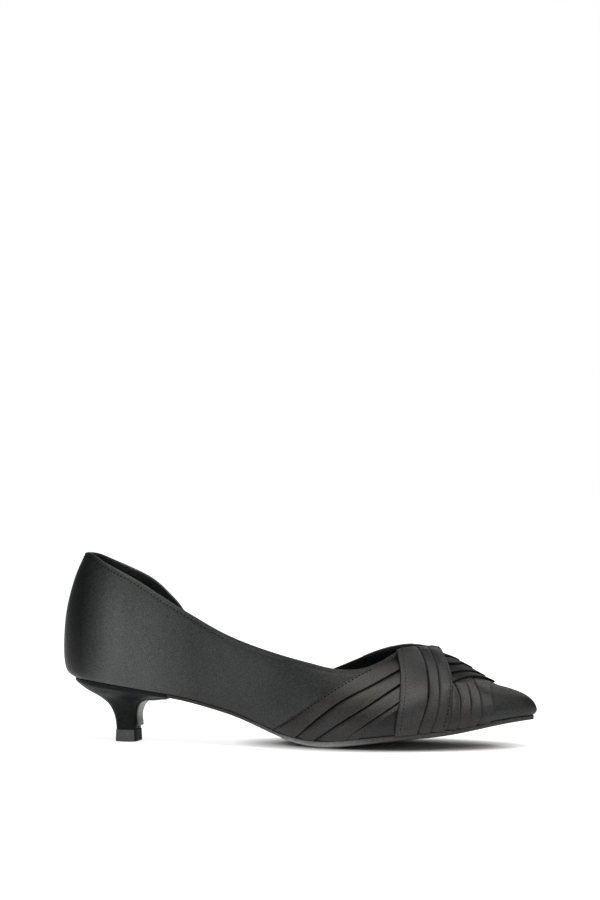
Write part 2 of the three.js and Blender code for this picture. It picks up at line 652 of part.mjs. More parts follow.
// The cover on the breast: a thin strip down the front of the heel from the end of the outsole
function coverGeometry() {
  const levels = spaced(1.2, lastRing - 0.25, 12);
  const grid = (lift) => levels.map((level) => spaced(-1, 1, 2).map((share) => {
    const lateral = heelPoint(level, -1);
    const medial = heelPoint(level, 1);
    const point = lateral.clone().lerp(medial, 0.5 + share * coverShare / 2);
    const above = heelPoint(level - 0.2, -1).add(heelPoint(level - 0.2, 1));
    const below = heelPoint(level + 0.2, -1).add(heelPoint(level + 0.2, 1));
    const out = below.sub(above).cross(medial.sub(lateral)).normalize();
    return point.addScaledVector(out, lift);
  }));
  return closedSheet(grid(clearance + coverThickness), grid(clearance));
}

// A point of the upper at a length and a place across, moved outward
function overUpper(x, place, lift) {
  const side = place < 0 ? 'lateral' : 'medial';
  const t = stationAt(x);
  const climb = 1 - Math.abs(place);
  return lastPoint(side, t, climb).addScaledVector(lastNormal(side, t, climb), lift);
}

// Where the top line lies along the shoe at a place across the vamp; behind it there is no upper
function toplineAt(place) {
  const side = place < 0 ? 'lateral' : 'medial';
  const climb = 1 - Math.abs(place);
  let low = lowestOpenSection[side];
  let high = throatStation(side);
  if (toplineClimb(side, low) > climb) return -halfLength;
  for (let i = 0; i < 30; i += 1) {
    const halfway = (low + high) / 2;
    if (toplineClimb(side, halfway) < climb) low = halfway;
    else high = halfway;
  }
  return sectionAt(high).x;
}

// The folds of a band as lengths along the shoe, at any place across
function foldsOf(rows) {
  const names = Object.keys(rows[0]).filter((name) => name !== 'place');
  const ordered = [...rows].sort((one, two) => one.place - two.place);
  const lines = names.map((name) => splineThrough(ordered, 'place', name));
  return (place) => lines.map((line) => shoeLength * line(place) - halfLength);
}
const overFolds = foldsOf(overBandRows);
const underFolds = foldsOf(underBandRows);
const uprightFolds = foldsOf(uprightPleatRows);

// Thickness of a pleated band: each pleat rises from under the one behind it to its own front fold
function pleatThickness(folds, x) {
  let i = 0;
  while (i < folds.length - 2 && x > folds[i + 1]) i += 1;
  const share = Math.min(Math.max((x - folds[i]) / (folds[i + 1] - folds[i]), 0), 1);
  return bandThickness - pleatDepth * (1 - Math.sin((share * Math.PI) / 2));
}

// Columns of a band: two close to each fold and some inside each pleat
function pleatColumns(folds, inside) {
  const columns = [folds[0]];
  for (let i = 1; i < folds.length; i += 1) {
    const width = folds[i] - folds[i - 1];
    for (let k = 1; k <= inside; k += 1) columns.push(folds[i - 1] + (width * k) / (inside + 1));
    columns.push(folds[i] - foldMargin);
    columns.push(i < folds.length - 1 ? folds[i] + foldMargin : folds[i]);
  }
  return columns;
}

// A band over the upper: rows across the vamp, folds along it, each point lifted by its layer
function bandGeometry(places, inside, foldsAt, rearAt, layerAt) {
  const rows = places.map((place) => {
    const folds = foldsAt(place);
    const rear = rearAt(place);
    return pleatColumns(folds, inside).map((x) => ({ x: Math.max(x, rear), place, folds }));
  });
  const grid = (share) => rows.map((row) => row.map(({ x, place, folds }) => {
    const lift = layerAt(x, place) + share * pleatThickness(folds, x);
    return overUpper(x, place, lift);
  }));
  return closedSheet(grid(1), grid(0));
}

// How far the over band is lifted to pass over the under band
function overLayer(x, place) {
  const folds = underFolds(place);
  const rear = folds[0] - liftMargin;
  const front = folds[folds.length - 1] + liftMargin;
  const behind = THREE.MathUtils.smoothstep(x, rear - liftRamp, rear);
  const ahead = 1 - THREE.MathUtils.smoothstep(x, front, front + liftRamp);
  return clearance + (bandThickness + clearance) * behind * ahead;
}

// Places across the vamp, closer together toward the feather lines
const edgePlace = 0.985;
function gathered(from, to, steps) {
  return spaced(from, to, steps).map((s) => edgePlace * s * (1.25 - 0.25 * s * s));
}
const bandPlaces = gathered(1, -1, 30);

function overBandGeometry() {
  return bandGeometry(bandPlaces, 2, overFolds, toplineAt, overLayer);
}

function underBandGeometry() {
  return bandGeometry(bandPlaces, 1, underFolds, toplineAt, () => clearance);
}

// The upright pleats stop short of the two bands behind them
function uprightGeometry(side) {
  const end = uprightEnd[side];
  const places = side === 'medial' ? gathered(1, end, 12) : gathered(-end, -1, 12);
  const rear = (place) => {
    const under = underFolds(place);
    const over = overFolds(place);
    return Math.max(under[under.length - 1], over[over.length - 1]) + bandGap;
  };
  return bandGeometry(places, 1, (place) => uprightFolds(Math.abs(place)), rear, () => clearance);
}

const shoe = new THREE.Group();
function add(name, geometry, material) {
  const mesh = new THREE.Mesh(geometry, material);
  mesh.name = name;
  shoe.add(mesh);
  return mesh;
}
const satin = new THREE.MeshStandardMaterial({ color: 0x2a2c2e, roughness: 0.55, metalness: 0 });
const soleRubber = new THREE.MeshStandardMaterial({ color: 0x4a4a48, roughness: 0.7, metalness: 0 });
const heelFinish = new THREE.MeshStandardMaterial({ color: 0x17181a, roughness: 0.5, metalness: 0 });
const tipRubber = new THREE.MeshStandardMaterial({ color: 0x2c302f, roughness: 0.6, metalness: 0 });
const sock = new THREE.MeshStandardMaterial({ color: 0x141414, roughness: 0.8, metalness: 0 });
add('upper', upperGeometry(), satin);
add('outsole', outsoleGeometry(), soleRubber);
add('insole', insoleGeometry(), sock);
add('heel', heelGeometry(), heelFinish);
add('heel_tip', tipGeometry(), tipRubber);
add('breast_cover', coverGeometry(), soleRubber);
add('band_under', underBandGeometry(), satin);
add('band_over', overBandGeometry(), satin);
add('pleats_lateral', uprightGeometry('lateral'), satin);
add('pleats_medial', uprightGeometry('medial'), satin);

const box = new THREE.Box3().setFromObject(shoe);
const middle = box.getCenter(new THREE.Vector3());
shoe.position.set(-middle.x, -middle.y, 0);

export default shoe;
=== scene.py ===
# %% [markdown]
# # A satin pump with crossed pleats and a kitten heel
#
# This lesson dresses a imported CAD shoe. The CAD solids give the size and place of each part; here every
# soft or finely shaped part is made again with far more detail, in the same metres and the same frame.
# A right shoe stands with its toe along +X and its outer side towards -Y.

import bmesh
import bpy
import numpy as np
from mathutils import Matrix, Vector


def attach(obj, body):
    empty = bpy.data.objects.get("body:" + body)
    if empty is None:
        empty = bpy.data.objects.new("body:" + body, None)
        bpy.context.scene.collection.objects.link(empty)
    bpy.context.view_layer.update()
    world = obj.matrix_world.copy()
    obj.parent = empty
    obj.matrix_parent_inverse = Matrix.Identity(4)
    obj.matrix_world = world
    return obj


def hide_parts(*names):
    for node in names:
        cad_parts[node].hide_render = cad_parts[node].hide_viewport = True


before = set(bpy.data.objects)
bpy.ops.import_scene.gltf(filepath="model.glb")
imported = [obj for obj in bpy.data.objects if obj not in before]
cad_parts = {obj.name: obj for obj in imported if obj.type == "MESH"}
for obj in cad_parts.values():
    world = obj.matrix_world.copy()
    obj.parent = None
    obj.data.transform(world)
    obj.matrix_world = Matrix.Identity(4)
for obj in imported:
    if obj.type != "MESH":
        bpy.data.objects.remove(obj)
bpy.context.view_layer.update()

# %% [markdown]
# ## The last
#
# A shoe is built over a last, a solid foot shape, and each cloth piece lies on it. So the first thing to
# make is not a mesh but a function: give it a station along the shoe and a place across, and it gives a
# point of the surface. The sizes are the same ones that the CAD part was drawn from, in millimetres.
# Cubic curves through short tables keep everything smooth, which sculpting by eye would not.

# %% Sizes of the shoe in millimetres
MM = 0.001
SHOE_LENGTH = 265.0
BALL_WIDTH = 75.5
HEEL_RISE = 29.5
TOE_SPRING = 11.9
QUARTER_HEIGHT = 69.8
INSTEP_HEIGHT = 42.1
TOE_LEAD = 5.0
TREAD_CROWN = 3.6
SOLE_CROWN = 4.6
SOLE_THICKNESS = 2.2
INSOLE_THICKNESS = 2.4
CLEARANCE = 0.3
WALL = 1.6
TUCK_REACH = 0.07
HEEL_CENTRE = 40.5
HEEL_LENGTH = 64.5
HALF_LENGTH = SHOE_LENGTH / 2
HEEL_END = -HALF_LENGTH + HEEL_LENGTH
SHIFT = np.array([-0.626, 3.709, 0.0])
print("last", SHOE_LENGTH, "by", BALL_WIDTH, "mm, heel seat raised", HEEL_RISE, "mm")

# %% A smooth curve through a table
def curve(x, y):
    """A natural cubic through the points, straight past both ends."""
    x, y = np.asarray(x, float), np.asarray(y, float)
    gap, last = np.diff(x), len(x) - 1
    slope = np.diff(y) / gap
    system, turn = np.eye(last + 1), np.zeros(last + 1)
    for i in range(1, last):
        system[i, i - 1 : i + 2] = gap[i - 1], 2 * (gap[i - 1] + gap[i]), gap[i]
        turn[i] = 6 * (slope[i] - slope[i - 1])
    bend = np.linalg.solve(system, turn)
    start = slope[0] - gap[0] * bend[1] / 6
    end = slope[-1] + gap[-1] * bend[-2] / 6

    def at(value):
        value = np.asarray(value, float)
        inside = np.clip(value, x[0], x[-1])
        i = np.clip(np.searchsorted(x, inside) - 1, 0, last - 1)
        left = (x[i + 1] - inside) / gap[i]
        right = 1 - left
        curl = (left**3 - left) * bend[i] + (right**3 - right) * bend[i + 1]
        height = left * y[i] + right * y[i + 1] + curl * gap[i] ** 2 / 6
        return height + np.minimum(value - x[0], 0) * start + np.maximum(value - x[-1], 0) * end

    return at


def table(columns, rows):
    """Named columns from rows of numbers."""
    return {name: [row[k] for row in rows] for k, name in enumerate(columns.split())}


# %% Sole edge: shares of shoe length, heel rise and toe spring
EDGE = table("at heel toe", [
    (0.0, 1.0, 0.0), (0.085, 0.976, 0.0), (0.145, 0.905, 0.0), (0.209, 0.814, 0.0),
    (0.274, 0.712, 0.0), (0.326, 0.594, 0.0), (0.379, 0.458, 0.0), (0.428, 0.292, 0.0),
    (0.47, 0.145, 0.0), (0.515, 0.045, 0.0), (0.56, 0.0, 0.0), (0.613, 0.0, 0.06),
    (0.681, 0.0, 0.2), (0.75, 0.0, 0.32), (0.821, 0.0, 0.44), (0.87, 0.0, 0.6),
    (0.915, 0.0, 0.77), (0.95, 0.0, 0.885), (1.0, 0.0, 1.0),
])
CROWN = table("at bow", [
    (0.0, 0.0), (0.25, 0.0), (0.3, 0.35), (0.36, 0.55), (0.47, 0.8),
    (0.56, 1.0), (0.63, 1.0), (0.75, 0.75), (0.87, 0.4), (1.0, 0.0),
])
heel_share = curve(EDGE["at"], EDGE["heel"])
toe_share = curve(EDGE["at"], EDGE["toe"])
crown_share = curve(CROWN["at"], CROWN["bow"])


def share_at(x):
    return (x + HALF_LENGTH) / SHOE_LENGTH


def sole_edge(x):
    at = share_at(x)
    return TREAD_CROWN + HEEL_RISE * heel_share(at) + TOE_SPRING * toe_share(at)


def feather_line(x):
    """Height of the line where the upper meets the sole."""
    return sole_edge(x) + SOLE_THICKNESS + CLEARANCE


# %% Sections of the last from the heel centre to the toe tip
SECTIONS = table("at lateral medial ridge lead round tuck", [
    (0.1528, 0.351, 0.338, 1.852, 0, 0.62, 0.1),
    (0.2358, 0.342, 0.291, 1.758, 0, 0.5, 0.09),
    (0.3189, 0.331, 0.228, 1.698, 0, 0.44, 0.08),
    (0.3943, 0.354, 0.256, 1.698, 0, 0.55, 0.08),
    (0.4623, 0.411, 0.338, 1.734, 0, 0.9, 0.075),
    (0.5302, 0.494, 0.408, 1.71, 0, 1.3, 0.07),
    (0.5981, 0.539, 0.442, 1.568, 0, 1.55, 0.065),
    (0.6585, 0.532, 0.445, 1.39, 0, 1.5, 0.065),
    (0.7189, 0.481, 0.408, 1.212, 0, 1.35, 0.07),
    (0.7755, 0.407, 0.348, 1.026, 0, 1.2, 0.075),
    (0.8208, 0.338, 0.291, 0.886, 0.05, 1.1, 0.08),
    (0.8585, 0.2755, 0.244, 0.708, 0.25, 1.02, 0.09),
    (0.8962, 0.209, 0.189, 0.493, 0.6, 0.95, 0.1),
    (0.9189, 0.167, 0.154, 0.412, 0.8, 0.92, 0.1),
    (0.9396, 0.1285, 0.122, 0.348, 0.93, 0.9, 0.1),
    (0.9566, 0.098, 0.094, 0.284, 1.0, 0.9, 0.1),
    (0.9709, 0.073, 0.0715, 0.212, 0.96, 0.9, 0.1),
    (0.9815, 0.052, 0.0515, 0.145, 0.8, 0.9, 0.1),
    (0.9883, 0.033, 0.033, 0.083, 0.62, 0.9, 0.1),
    (0.9921, 0.016, 0.016, 0.036, 0.38, 0.9, 0.1),
    (0.9936, 0.0, 0.0, 0.0, 0.0, 0.9, 0.1),
])
BACK = table("up inward", [
    (0.0, 0.2), (0.03, 0.115), (0.08, 0.058), (0.175, 0.032), (0.3, 0.03), (0.43, 0.042),
    (0.56, 0.072), (0.69, 0.124), (0.82, 0.194), (0.95, 0.29), (1.05, 0.37),
])
HEEL_ROUNDNESS = 0.9
BACK_TOP_SHARE = 0.95
TOE_SECTION = 12
LAST_SECTION = len(SECTIONS["at"]) - 1
section = {name: curve(range(LAST_SECTION + 1), rows) for name, rows in SECTIONS.items()}
back_inward = curve(BACK["up"], BACK["inward"])
print("sections of the last:", LAST_SECTION + 1)

# %% A point of the last, and the direction that faces out there
def section_values(t):
    x = SHOE_LENGTH * section["at"](t) - HALF_LENGTH
    return {
        "x": x,
        "feather": feather_line(x),
        "lateral": BALL_WIDTH * np.maximum(section["lateral"](t), 0),
        "medial": BALL_WIDTH * np.maximum(section["medial"](t), 0),
        "ridge": INSTEP_HEIGHT * np.maximum(section["ridge"](t), 0),
        "lead": TOE_LEAD * section["lead"](t),
        "round": section["round"](t),
        "tuck": section["tuck"](t),
    }


def last_point(t, place):
    """t runs from -1 at the back of the heel through 0 at the heel centre to the toe tip. place runs from -1
    at the outer feather line through 0 on the ridge to 1 at the inner feather line."""
    t, place = np.broadcast_arrays(np.asarray(t, float), np.asarray(place, float))
    past = t < -1
    t, place = np.where(past, -2 - t, t), np.where(past, -place, place)
    cut = section_values(np.clip(t, 0, LAST_SECTION))
    outer = place < 0
    angle = (1 - np.abs(place)) * np.pi / 2
    turn = (1 + np.minimum(t, 0)) * np.pi / 2
    forward = 1 - np.cos(turn)
    back_foot = -HALF_LENGTH + HEEL_CENTRE * back_inward(0)
    feather = np.where(t < 0, feather_line(back_foot + (cut["x"] - back_foot) * forward), cut["feather"])
    rise = (cut["feather"] + cut["ridge"] - feather) * np.sin(angle)
    full = np.where(outer, cut["lateral"], cut["medial"]) / (1 - cut["tuck"])
    drawn = 1 - cut["tuck"] * np.exp(-rise / np.maximum(TUCK_REACH * cut["ridge"], 0.01))
    half = full * np.maximum(np.cos(angle), 0) ** cut["round"] * drawn
    y = np.where(outer, -1, 1) * half * np.sin(turn) ** HEEL_ROUNDNESS
    back = -HALF_LENGTH + HEEL_CENTRE * back_inward(rise / QUARTER_HEIGHT)
    x = np.where(t < 0, back + (cut["x"] - back) * forward, cut["x"] + cut["lead"] * np.sin(angle))
    return np.stack([x, y, feather + rise], -1)


def unit(vectors):
    return vectors / np.maximum(np.linalg.norm(vectors, axis=-1, keepdims=True), 1e-9)


TIP_DIRECTION = unit(np.array([0.96, 0.0, -0.28]))


def last_normal(t, place, small=0.004):
    along = last_point(t + small, place) - last_point(t - small, place)
    across = last_point(t, np.clip(place + small, -1, 1)) - last_point(t, np.clip(place - small, -1, 1))
    normal = unit(np.cross(along, across))
    at_tip = np.broadcast_to(np.asarray(t) > LAST_SECTION - small, normal.shape[:-1])
    return np.where(at_tip[..., None], TIP_DIRECTION, normal)


dense_t = np.linspace(0, LAST_SECTION, 4001)
dense_share = section["at"](dense_t)


def station_at(x):
    """The station that stands over a length along the shoe."""
    return np.interp(share_at(x), dense_share, dense_t)


def over_last(x, place, lift):
    """A point over the last, moved outward by lift."""
    t = station_at(x)
    return last_point(t, place) + last_normal(t, place) * np.asarray(lift)[..., None]


# %% [markdown]
# ## The top line
#
# The upper is cut away on the instep, deeply on the inner side and less on the outer side. This line is
# given as a height above the heel seat for each length along the shoe. It is kept as its own curve,
# because the cloth is folded over it and stitched beside it.

# %% Height of the top line on each side
TOPLINE = {
    -1: table("at up", [
        (0.045, 0.99), (0.062, 0.99), (0.085, 0.955), (0.12, 0.893), (0.154, 0.83), (0.19, 0.753),
        (0.224, 0.672), (0.265, 0.577), (0.305, 0.488), (0.355, 0.384), (0.397, 0.317), (0.45, 0.25),
        (0.505, 0.194), (0.545, 0.159), (0.59, 0.122), (0.62, 0.113), (0.65, 0.122), (0.68, 0.16),
        (0.7, 0.2), (0.716, 0.236), (0.735, 0.251), (0.755, 0.251), (0.79, 0.236),
    ]),
    1: table("at up", [
        (0.045, 0.99), (0.062, 0.98), (0.085, 0.945), (0.12, 0.883), (0.154, 0.819), (0.18, 0.763),
        (0.2, 0.7), (0.217, 0.636), (0.235, 0.563), (0.257, 0.425), (0.28, 0.235), (0.302, 0.06),
        (0.325, -0.055), (0.352, -0.118), (0.385, -0.15), (0.42, -0.148), (0.46, -0.112),
        (0.51, -0.038), (0.56, 0.038), (0.61, 0.12), (0.65, 0.186), (0.69, 0.238), (0.735, 0.268),
        (0.765, 0.262), (0.79, 0.242),
    ]),
}
topline_share = {side: curve(rows["at"], rows["up"]) for side, rows in TOPLINE.items()}


def topline_climb(side, t):
    """How far up its section the top line lies: 0 at the feather line, 1 where the vamp closes."""
    inward = 1 - np.cos((1 + np.minimum(t, 0)) * np.pi / 2)
    heel_x = section_values(0)["x"]
    back_top = -HALF_LENGTH + HEEL_CENTRE * back_inward(BACK_TOP_SHARE)
    x = np.where(t >= 0, section_values(np.maximum(t, 0))["x"], back_top + (heel_x - back_top) * inward)
    height = feather_line(-HALF_LENGTH) + QUARTER_HEIGHT * topline_share[side](share_at(x))
    foot, top = last_point(t, side)[..., 2], last_point(t, 0)[..., 2]
    rise = np.clip((height - foot) / np.maximum(top - foot, 1e-9), 0, 1)
    return np.arcsin(rise) * 2 / np.pi


THROAT_FROM, THROAT_TO = 7, 10


def throat_station(side):
    """The station where the top line of one side reaches the ridge."""
    tries = np.linspace(THROAT_FROM, THROAT_TO, 6001)
    return tries[np.argmax(topline_climb(side, tries) >= 1)]


THROAT = throat_station(-1)
print("throat at", round(float(section_values(THROAT)["x"]), 1), "mm; inner side at",
      round(float(section_values(throat_station(1))["x"]), 1), "mm")

# %% [markdown]
# ## From rows of points to a mesh
#
# Nearly every piece is a row of cross sections, like the ribs of a boat. One helper joins the ribs with
# four-sided faces, merges corners that lie in one place, and turns all faces outward. It also keeps a
# second set of coordinates, the way along and across the cloth, so that a weave can follow each piece.

# %% Joining cross sections
def cloth_coordinates(rings):
    """Distance along the ribs and across them, in metres, for every point."""
    across = np.linalg.norm(np.diff(rings, axis=1), axis=-1).mean(0)
    along = np.linalg.norm(np.diff(rings, axis=0), axis=-1).mean(1)
    u = np.concatenate([[0], np.cumsum(along)])
    v = np.concatenate([[0], np.cumsum(across)])
    grid = np.stack(np.meshgrid(u, v, indexing="ij") + [np.zeros((len(u), len(v)))], -1)
    return grid.reshape(-1, 3) * MM


def rib_faces(rows, columns, ring):
    wide = columns if ring else columns - 1
    i, j = np.meshgrid(np.arange(rows - 1), np.arange(wide), indexing="ij")
    k = (j + 1) % columns
    return np.stack([i * columns + j, i * columns + k, (i + 1) * columns + k, (i + 1) * columns + j], -1)


def finish_mesh(name, points, faces, cloth=None, sharp=50, paint=None, painted_shade=None):
    mesh = bpy.data.meshes.new(name)
    mesh.from_pydata(((points + SHIFT) * MM).tolist(), [], faces)
    if paint is not None:
        mesh.polygons.foreach_set("material_index", paint.astype(np.int32))
    if cloth is not None:
        mesh.attributes.new("cloth", "FLOAT_VECTOR", "POINT").data.foreach_set("vector", cloth.ravel())
    # Painted shade of the folds, kept on the mesh so that the satin can darken its colour and gloss.
    if painted_shade is not None:
        painted_shade_values = painted_shade.ravel().astype(np.float32)
        mesh.attributes.new("painted_shade", "FLOAT", "POINT").data.foreach_set("value", painted_shade_values)
    work = bmesh.new()
    work.from_mesh(mesh)
    bmesh.ops.remove_doubles(work, verts=work.verts, dist=2e-6)
    bmesh.ops.dissolve_degenerate(work, edges=work.edges, dist=1e-7)
    bmesh.ops.recalc_face_normals(work, faces=work.faces)
    work.to_mesh(mesh)
    work.free()
    mesh.shade_smooth()
    mesh.set_sharp_from_angle(angle=np.radians(sharp))
    piece = bpy.data.objects.new(name, mesh)
    bpy.context.scene.collection.objects.link(piece)
    return piece


def ribbed_solid(name, rings, skip=None, caps=True, sharp=50, paint=None, painted_shade=None):
    """A closed solid from closed cross sections. skip leaves out faces, paint gives each face the number of
    its finish, and painted_shade says how much each point is darkened by painted shade, all as rows by
    columns."""
    rows, columns = rings.shape[:2]
    keep = np.ones((rows - 1, columns), bool) if skip is None else ~skip
    paint = np.zeros((rows - 1, columns)) if paint is None else paint
    faces = rib_faces(rows, columns, ring=True)[keep].reshape(-1, 4).tolist()
    numbers = paint[keep].ravel()
    if caps:
        faces.append(list(range(columns)))
        faces.append(list(range((rows - 1) * columns, rows * columns))[::-1])
        numbers = np.append(numbers, [0, 0])
    return finish_mesh(name, rings.reshape(-1, 3), faces, cloth_coordinates(rings), sharp, numbers, painted_shade)


def report(piece):
    print(piece.name, len(piece.data.polygons), "faces", [round(1000 * v, 1) for v in piece.dimensions])
    return piece


def settle(piece, slot, *nodes):
    """Ties a finished piece to the shoe and hides the CAD nodes that it stands for; slot is not used."""
    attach(piece, "root")
    if nodes:
        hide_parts(*nodes)
    return report(piece)


# %% [markdown]
# ## Finishes
#
# All the colour here is made from noise and waves, with no pictures. Satin is a smooth weave whose long
# threads catch a soft broad light, so its look comes from a middling roughness, a little sheen, a fine
# grain and threads that run along each piece. Numbers that are the same all over a surface sit on the
# shader's own sockets, so that they survive an export.

# %% A small kit for materials
class Finish:
    """A principled material with a few named helpers."""

    def __init__(self, name, **sockets):
        self.material = bpy.data.materials.new(name)
        self.material.use_nodes = True
        self.nodes = self.material.node_tree.nodes
        self.links = self.material.node_tree.links
        self.shader = self.nodes["Principled BSDF"]
        for socket, value in sockets.items():
            self.shader.inputs[socket.replace("_", " ")].default_value = value
        self.height = None

    def node(self, kind, inputs=None, **settings):
        node = self.nodes.new("ShaderNode" + kind)
        for key, value in settings.items():
            setattr(node, key, value)
        for key, value in (inputs or {}).items():
            if isinstance(value, bpy.types.NodeSocket):
                self.links.new(value, node.inputs[key])
            else:
                node.inputs[key].default_value = value
        return node

    def body(self):
        """Coordinates of the piece itself, in metres."""
        return self.node("TexCoord").outputs["Object"]

    def way(self, axis, start, end):
        """Runs from 0 to 1 between two places in millimetres on one axis."""
        found = self.node("SeparateXYZ", {"Vector": self.body()}).outputs[axis]
        return self.spread(found, 0.0, 1.0, start * MM, end * MM)

    def weave(self, along, across):
        """Coordinates that follow the cloth, stretched."""
        source = self.node("Attribute", attribute_name="cloth").outputs["Vector"]
        return self.node("Mapping", {"Vector": source, "Scale": (along, across, 1.0)}).outputs["Vector"]

    def noise(self, where, scale, detail=2.0, rough=0.5):
        inputs = {"Vector": where, "Scale": scale, "Detail": detail, "Roughness": rough}
        return self.node("TexNoise", inputs).outputs["Fac"]

    def spread(self, value, low, high, start=0.3, end=0.7):
        inputs = {"Value": value, "From Min": start, "From Max": end, "To Min": low, "To Max": high}
        return self.node("MapRange", inputs).outputs["Result"]

    def tint(self, value, *stops):
        """A ramp of colours along a value."""
        ramp = self.node("ValToRGB", {"Fac": value})
        parts = ramp.color_ramp.elements
        while len(parts) < len(stops):
            parts.new(0.5)
        for part, (position, colour) in zip(parts, stops):
            part.position = position
            part.color = (*colour, 1.0)
        return ramp.outputs["Color"]

    def vector(self, operation, first, second=None, output="Vector", **inputs):
        values = {0: first, **inputs}
        if second is not None:
            values[1] = second
        return self.node("VectorMath", values, operation=operation).outputs[output]

    def blend(self, share, first, second):
        """A mix of two colours."""
        mixed = self.node("Mix", {"Factor": share}, data_type="RGBA")
        self.links.new(first, mixed.inputs["A"])
        self.links.new(second, mixed.inputs["B"])
        return mixed.outputs["Result"]

    def colour(self, socket):
        self.links.new(socket, self.shader.inputs["Base Color"])

    def roughness(self, socket):
        self.links.new(socket, self.shader.inputs["Roughness"])

    def bump(self, socket, depth):
        """One more layer of relief, depth in millimetres."""
        inputs = {"Height": socket, "Distance": depth * MM, "Strength": 1.0}
        if self.height is not None:
            inputs["Normal"] = self.height
        self.height = self.node("Bump", inputs).outputs["Normal"]
        self.links.new(self.height, self.shader.inputs["Normal"])


def dress(piece, *finishes):
    for finish in finishes:
        piece.data.materials.append(finish.material)


def grey(value):
    return value, value, value


# %% [markdown]
# ## Satin
#
# Two things painted into the colour and gloss make black satin look like cloth and not like paint. A ramp
# along one axis is a painted highlight and painted shade: it makes the plain satin pale on the side of the
# heel and dark round the back, and the bands dim near the sole, paler and warmer halfway up and bluer near
# the instep. And light does not reach down between two pleats, so the mesh carries a painted shade for the
# fold gaps, the undersides of the noses and the stretch under the over band, and the material darkens
# colour and gloss there. Bounced light alone would leave those gaps grey.

# %% Satin, plain and on the bands
THREADS_ALONG, THREADS_ACROSS = 260, 2600
GRAIN_SCALE, DRIFT_SCALE = 1900.0, 34.0
SATIN_GLOSS = 0.42
SHEEN_TINT = (0.62, 0.66, 0.72, 1.0)


def satin(name, dark, light, warm, painted_light, axis="X", span=(-HALF_LENGTH, HALF_LENGTH), rough=0.42, sheen=0.12):
    """painted_light is a painted highlight and shade: how much colour and gloss are brightened or darkened at
    places from 0 to 1 over a span of millimetres on one axis.
    """
    cloth = Finish(
        name, Roughness=rough, Sheen_Weight=sheen, Sheen_Roughness=0.35, Specular_IOR_Level=SATIN_GLOSS)
    cloth.shader.inputs["Sheen Tint"].default_value = SHEEN_TINT
    threads = cloth.noise(cloth.weave(THREADS_ALONG, THREADS_ACROSS), 1.0, 2.0)
    grain = cloth.noise(cloth.body(), GRAIN_SCALE, 2.0, 0.6)
    drift = cloth.spread(cloth.noise(cloth.body(), DRIFT_SCALE, 2.0), 0.0, 1.0, 0.35, 0.65)
    cool, warmer = (cloth.tint(grain, (0.36, dark), (0.62, shade)) for shade in (light, warm))
    # Painted highlight and shade: a ramp along one axis that scales colour and gloss.
    painted_light_ramp = cloth.tint(cloth.way(axis, *span), *painted_light)
    # Painted shade carried by the mesh, in the fold gaps, under the noses and under the over band, darkens
    # colour and gloss.
    depth = cloth.node("Attribute", attribute_name="painted_shade").outputs["Fac"]
    left = cloth.node("Math", {0: 1.0, 1: depth}, operation="SUBTRACT").outputs["Value"]
    painted_light_and_shade = cloth.vector("SCALE", painted_light_ramp, Scale=left)
    cloth.colour(cloth.vector("MULTIPLY", cloth.blend(drift, cool, warmer), painted_light_and_shade))
    gloss = cloth.node("Math", {0: painted_light_and_shade, 1: SATIN_GLOSS}, operation="MULTIPLY").outputs["Value"]
    cloth.links.new(gloss, cloth.shader.inputs["Specular IOR Level"])
    cloth.roughness(cloth.spread(threads, rough - 0.06, rough + 0.07))
    cloth.bump(threads, 0.02)
    cloth.bump(grain, 0.09)
    return cloth


# %% Painted highlight and shade of the plain satin from heel to toe, and of the bands from sole to instep
PLAIN_PAINTED_LIGHT = [
    (0.0, 0.2), (0.055, 0.35), (0.115, 1.4), (0.2, 1.25), (0.3, 0.75),
    (0.5, 0.8), (0.6, 0.8), (0.7, 0.55), (0.85, 0.8), (1.0, 0.7),
]
BAND_PAINTED_LIGHT = [
    (0.0, (0.7, 0.7, 0.73)), (0.27, (0.7, 0.7, 0.73)), (0.47, (1.12, 1.09, 1.02)),
    (0.62, (1.1, 1.08, 1.03)), (0.8, (0.75, 0.82, 0.92)), (1.0, (0.75, 0.82, 0.92)),
]
plain_satin = satin(
    "plain_satin", dark=(0.0025, 0.003, 0.003), light=(0.029, 0.033, 0.033), warm=(0.028, 0.031, 0.03),
    painted_light=[(place, grey(value)) for place, value in PLAIN_PAINTED_LIGHT])
band_satin = satin(
    "band_satin", dark=(0.003, 0.003, 0.004), light=(0.024, 0.027, 0.032), warm=(0.03, 0.025, 0.021),
    painted_light=BAND_PAINTED_LIGHT, axis="Z", span=(0, 55), rough=0.38)
print("satins:", plain_satin.material.name, "and", band_satin.material.name)

# %% [markdown]
# ## Plain finishes
#
# Lining, thread, sock, heel and tip are each of one colour with a fine grain. One noise can drive the
# shade, the roughness and the relief together, and that is how a real surface behaves too: its raised
# grain is paler and rougher than its pits. The front face of the tip is moulded with fine ridges, so it
# gets a wave in place of noise, and it is painted darker than the rest of the tip, a painted shade.

# %% Finishes with one grain
def grained(name, fleck, dark, light, depth, spread=None, stops=(0.3, 0.7), weave=None, **sockets):
    """fleck is the scale, detail and roughness of the noise; depth is its relief in millimetres; spread is
    the least and greatest roughness of the surface."""
    finish = Finish(name, **sockets)
    grain = finish.noise(finish.weave(*weave) if weave else finish.body(), *fleck)
    finish.colour(finish.tint(grain, (stops[0], dark), (stops[1], light)))
    if spread:
        finish.roughness(finish.spread(grain, *spread))
    finish.bump(grain, depth)
    return finish


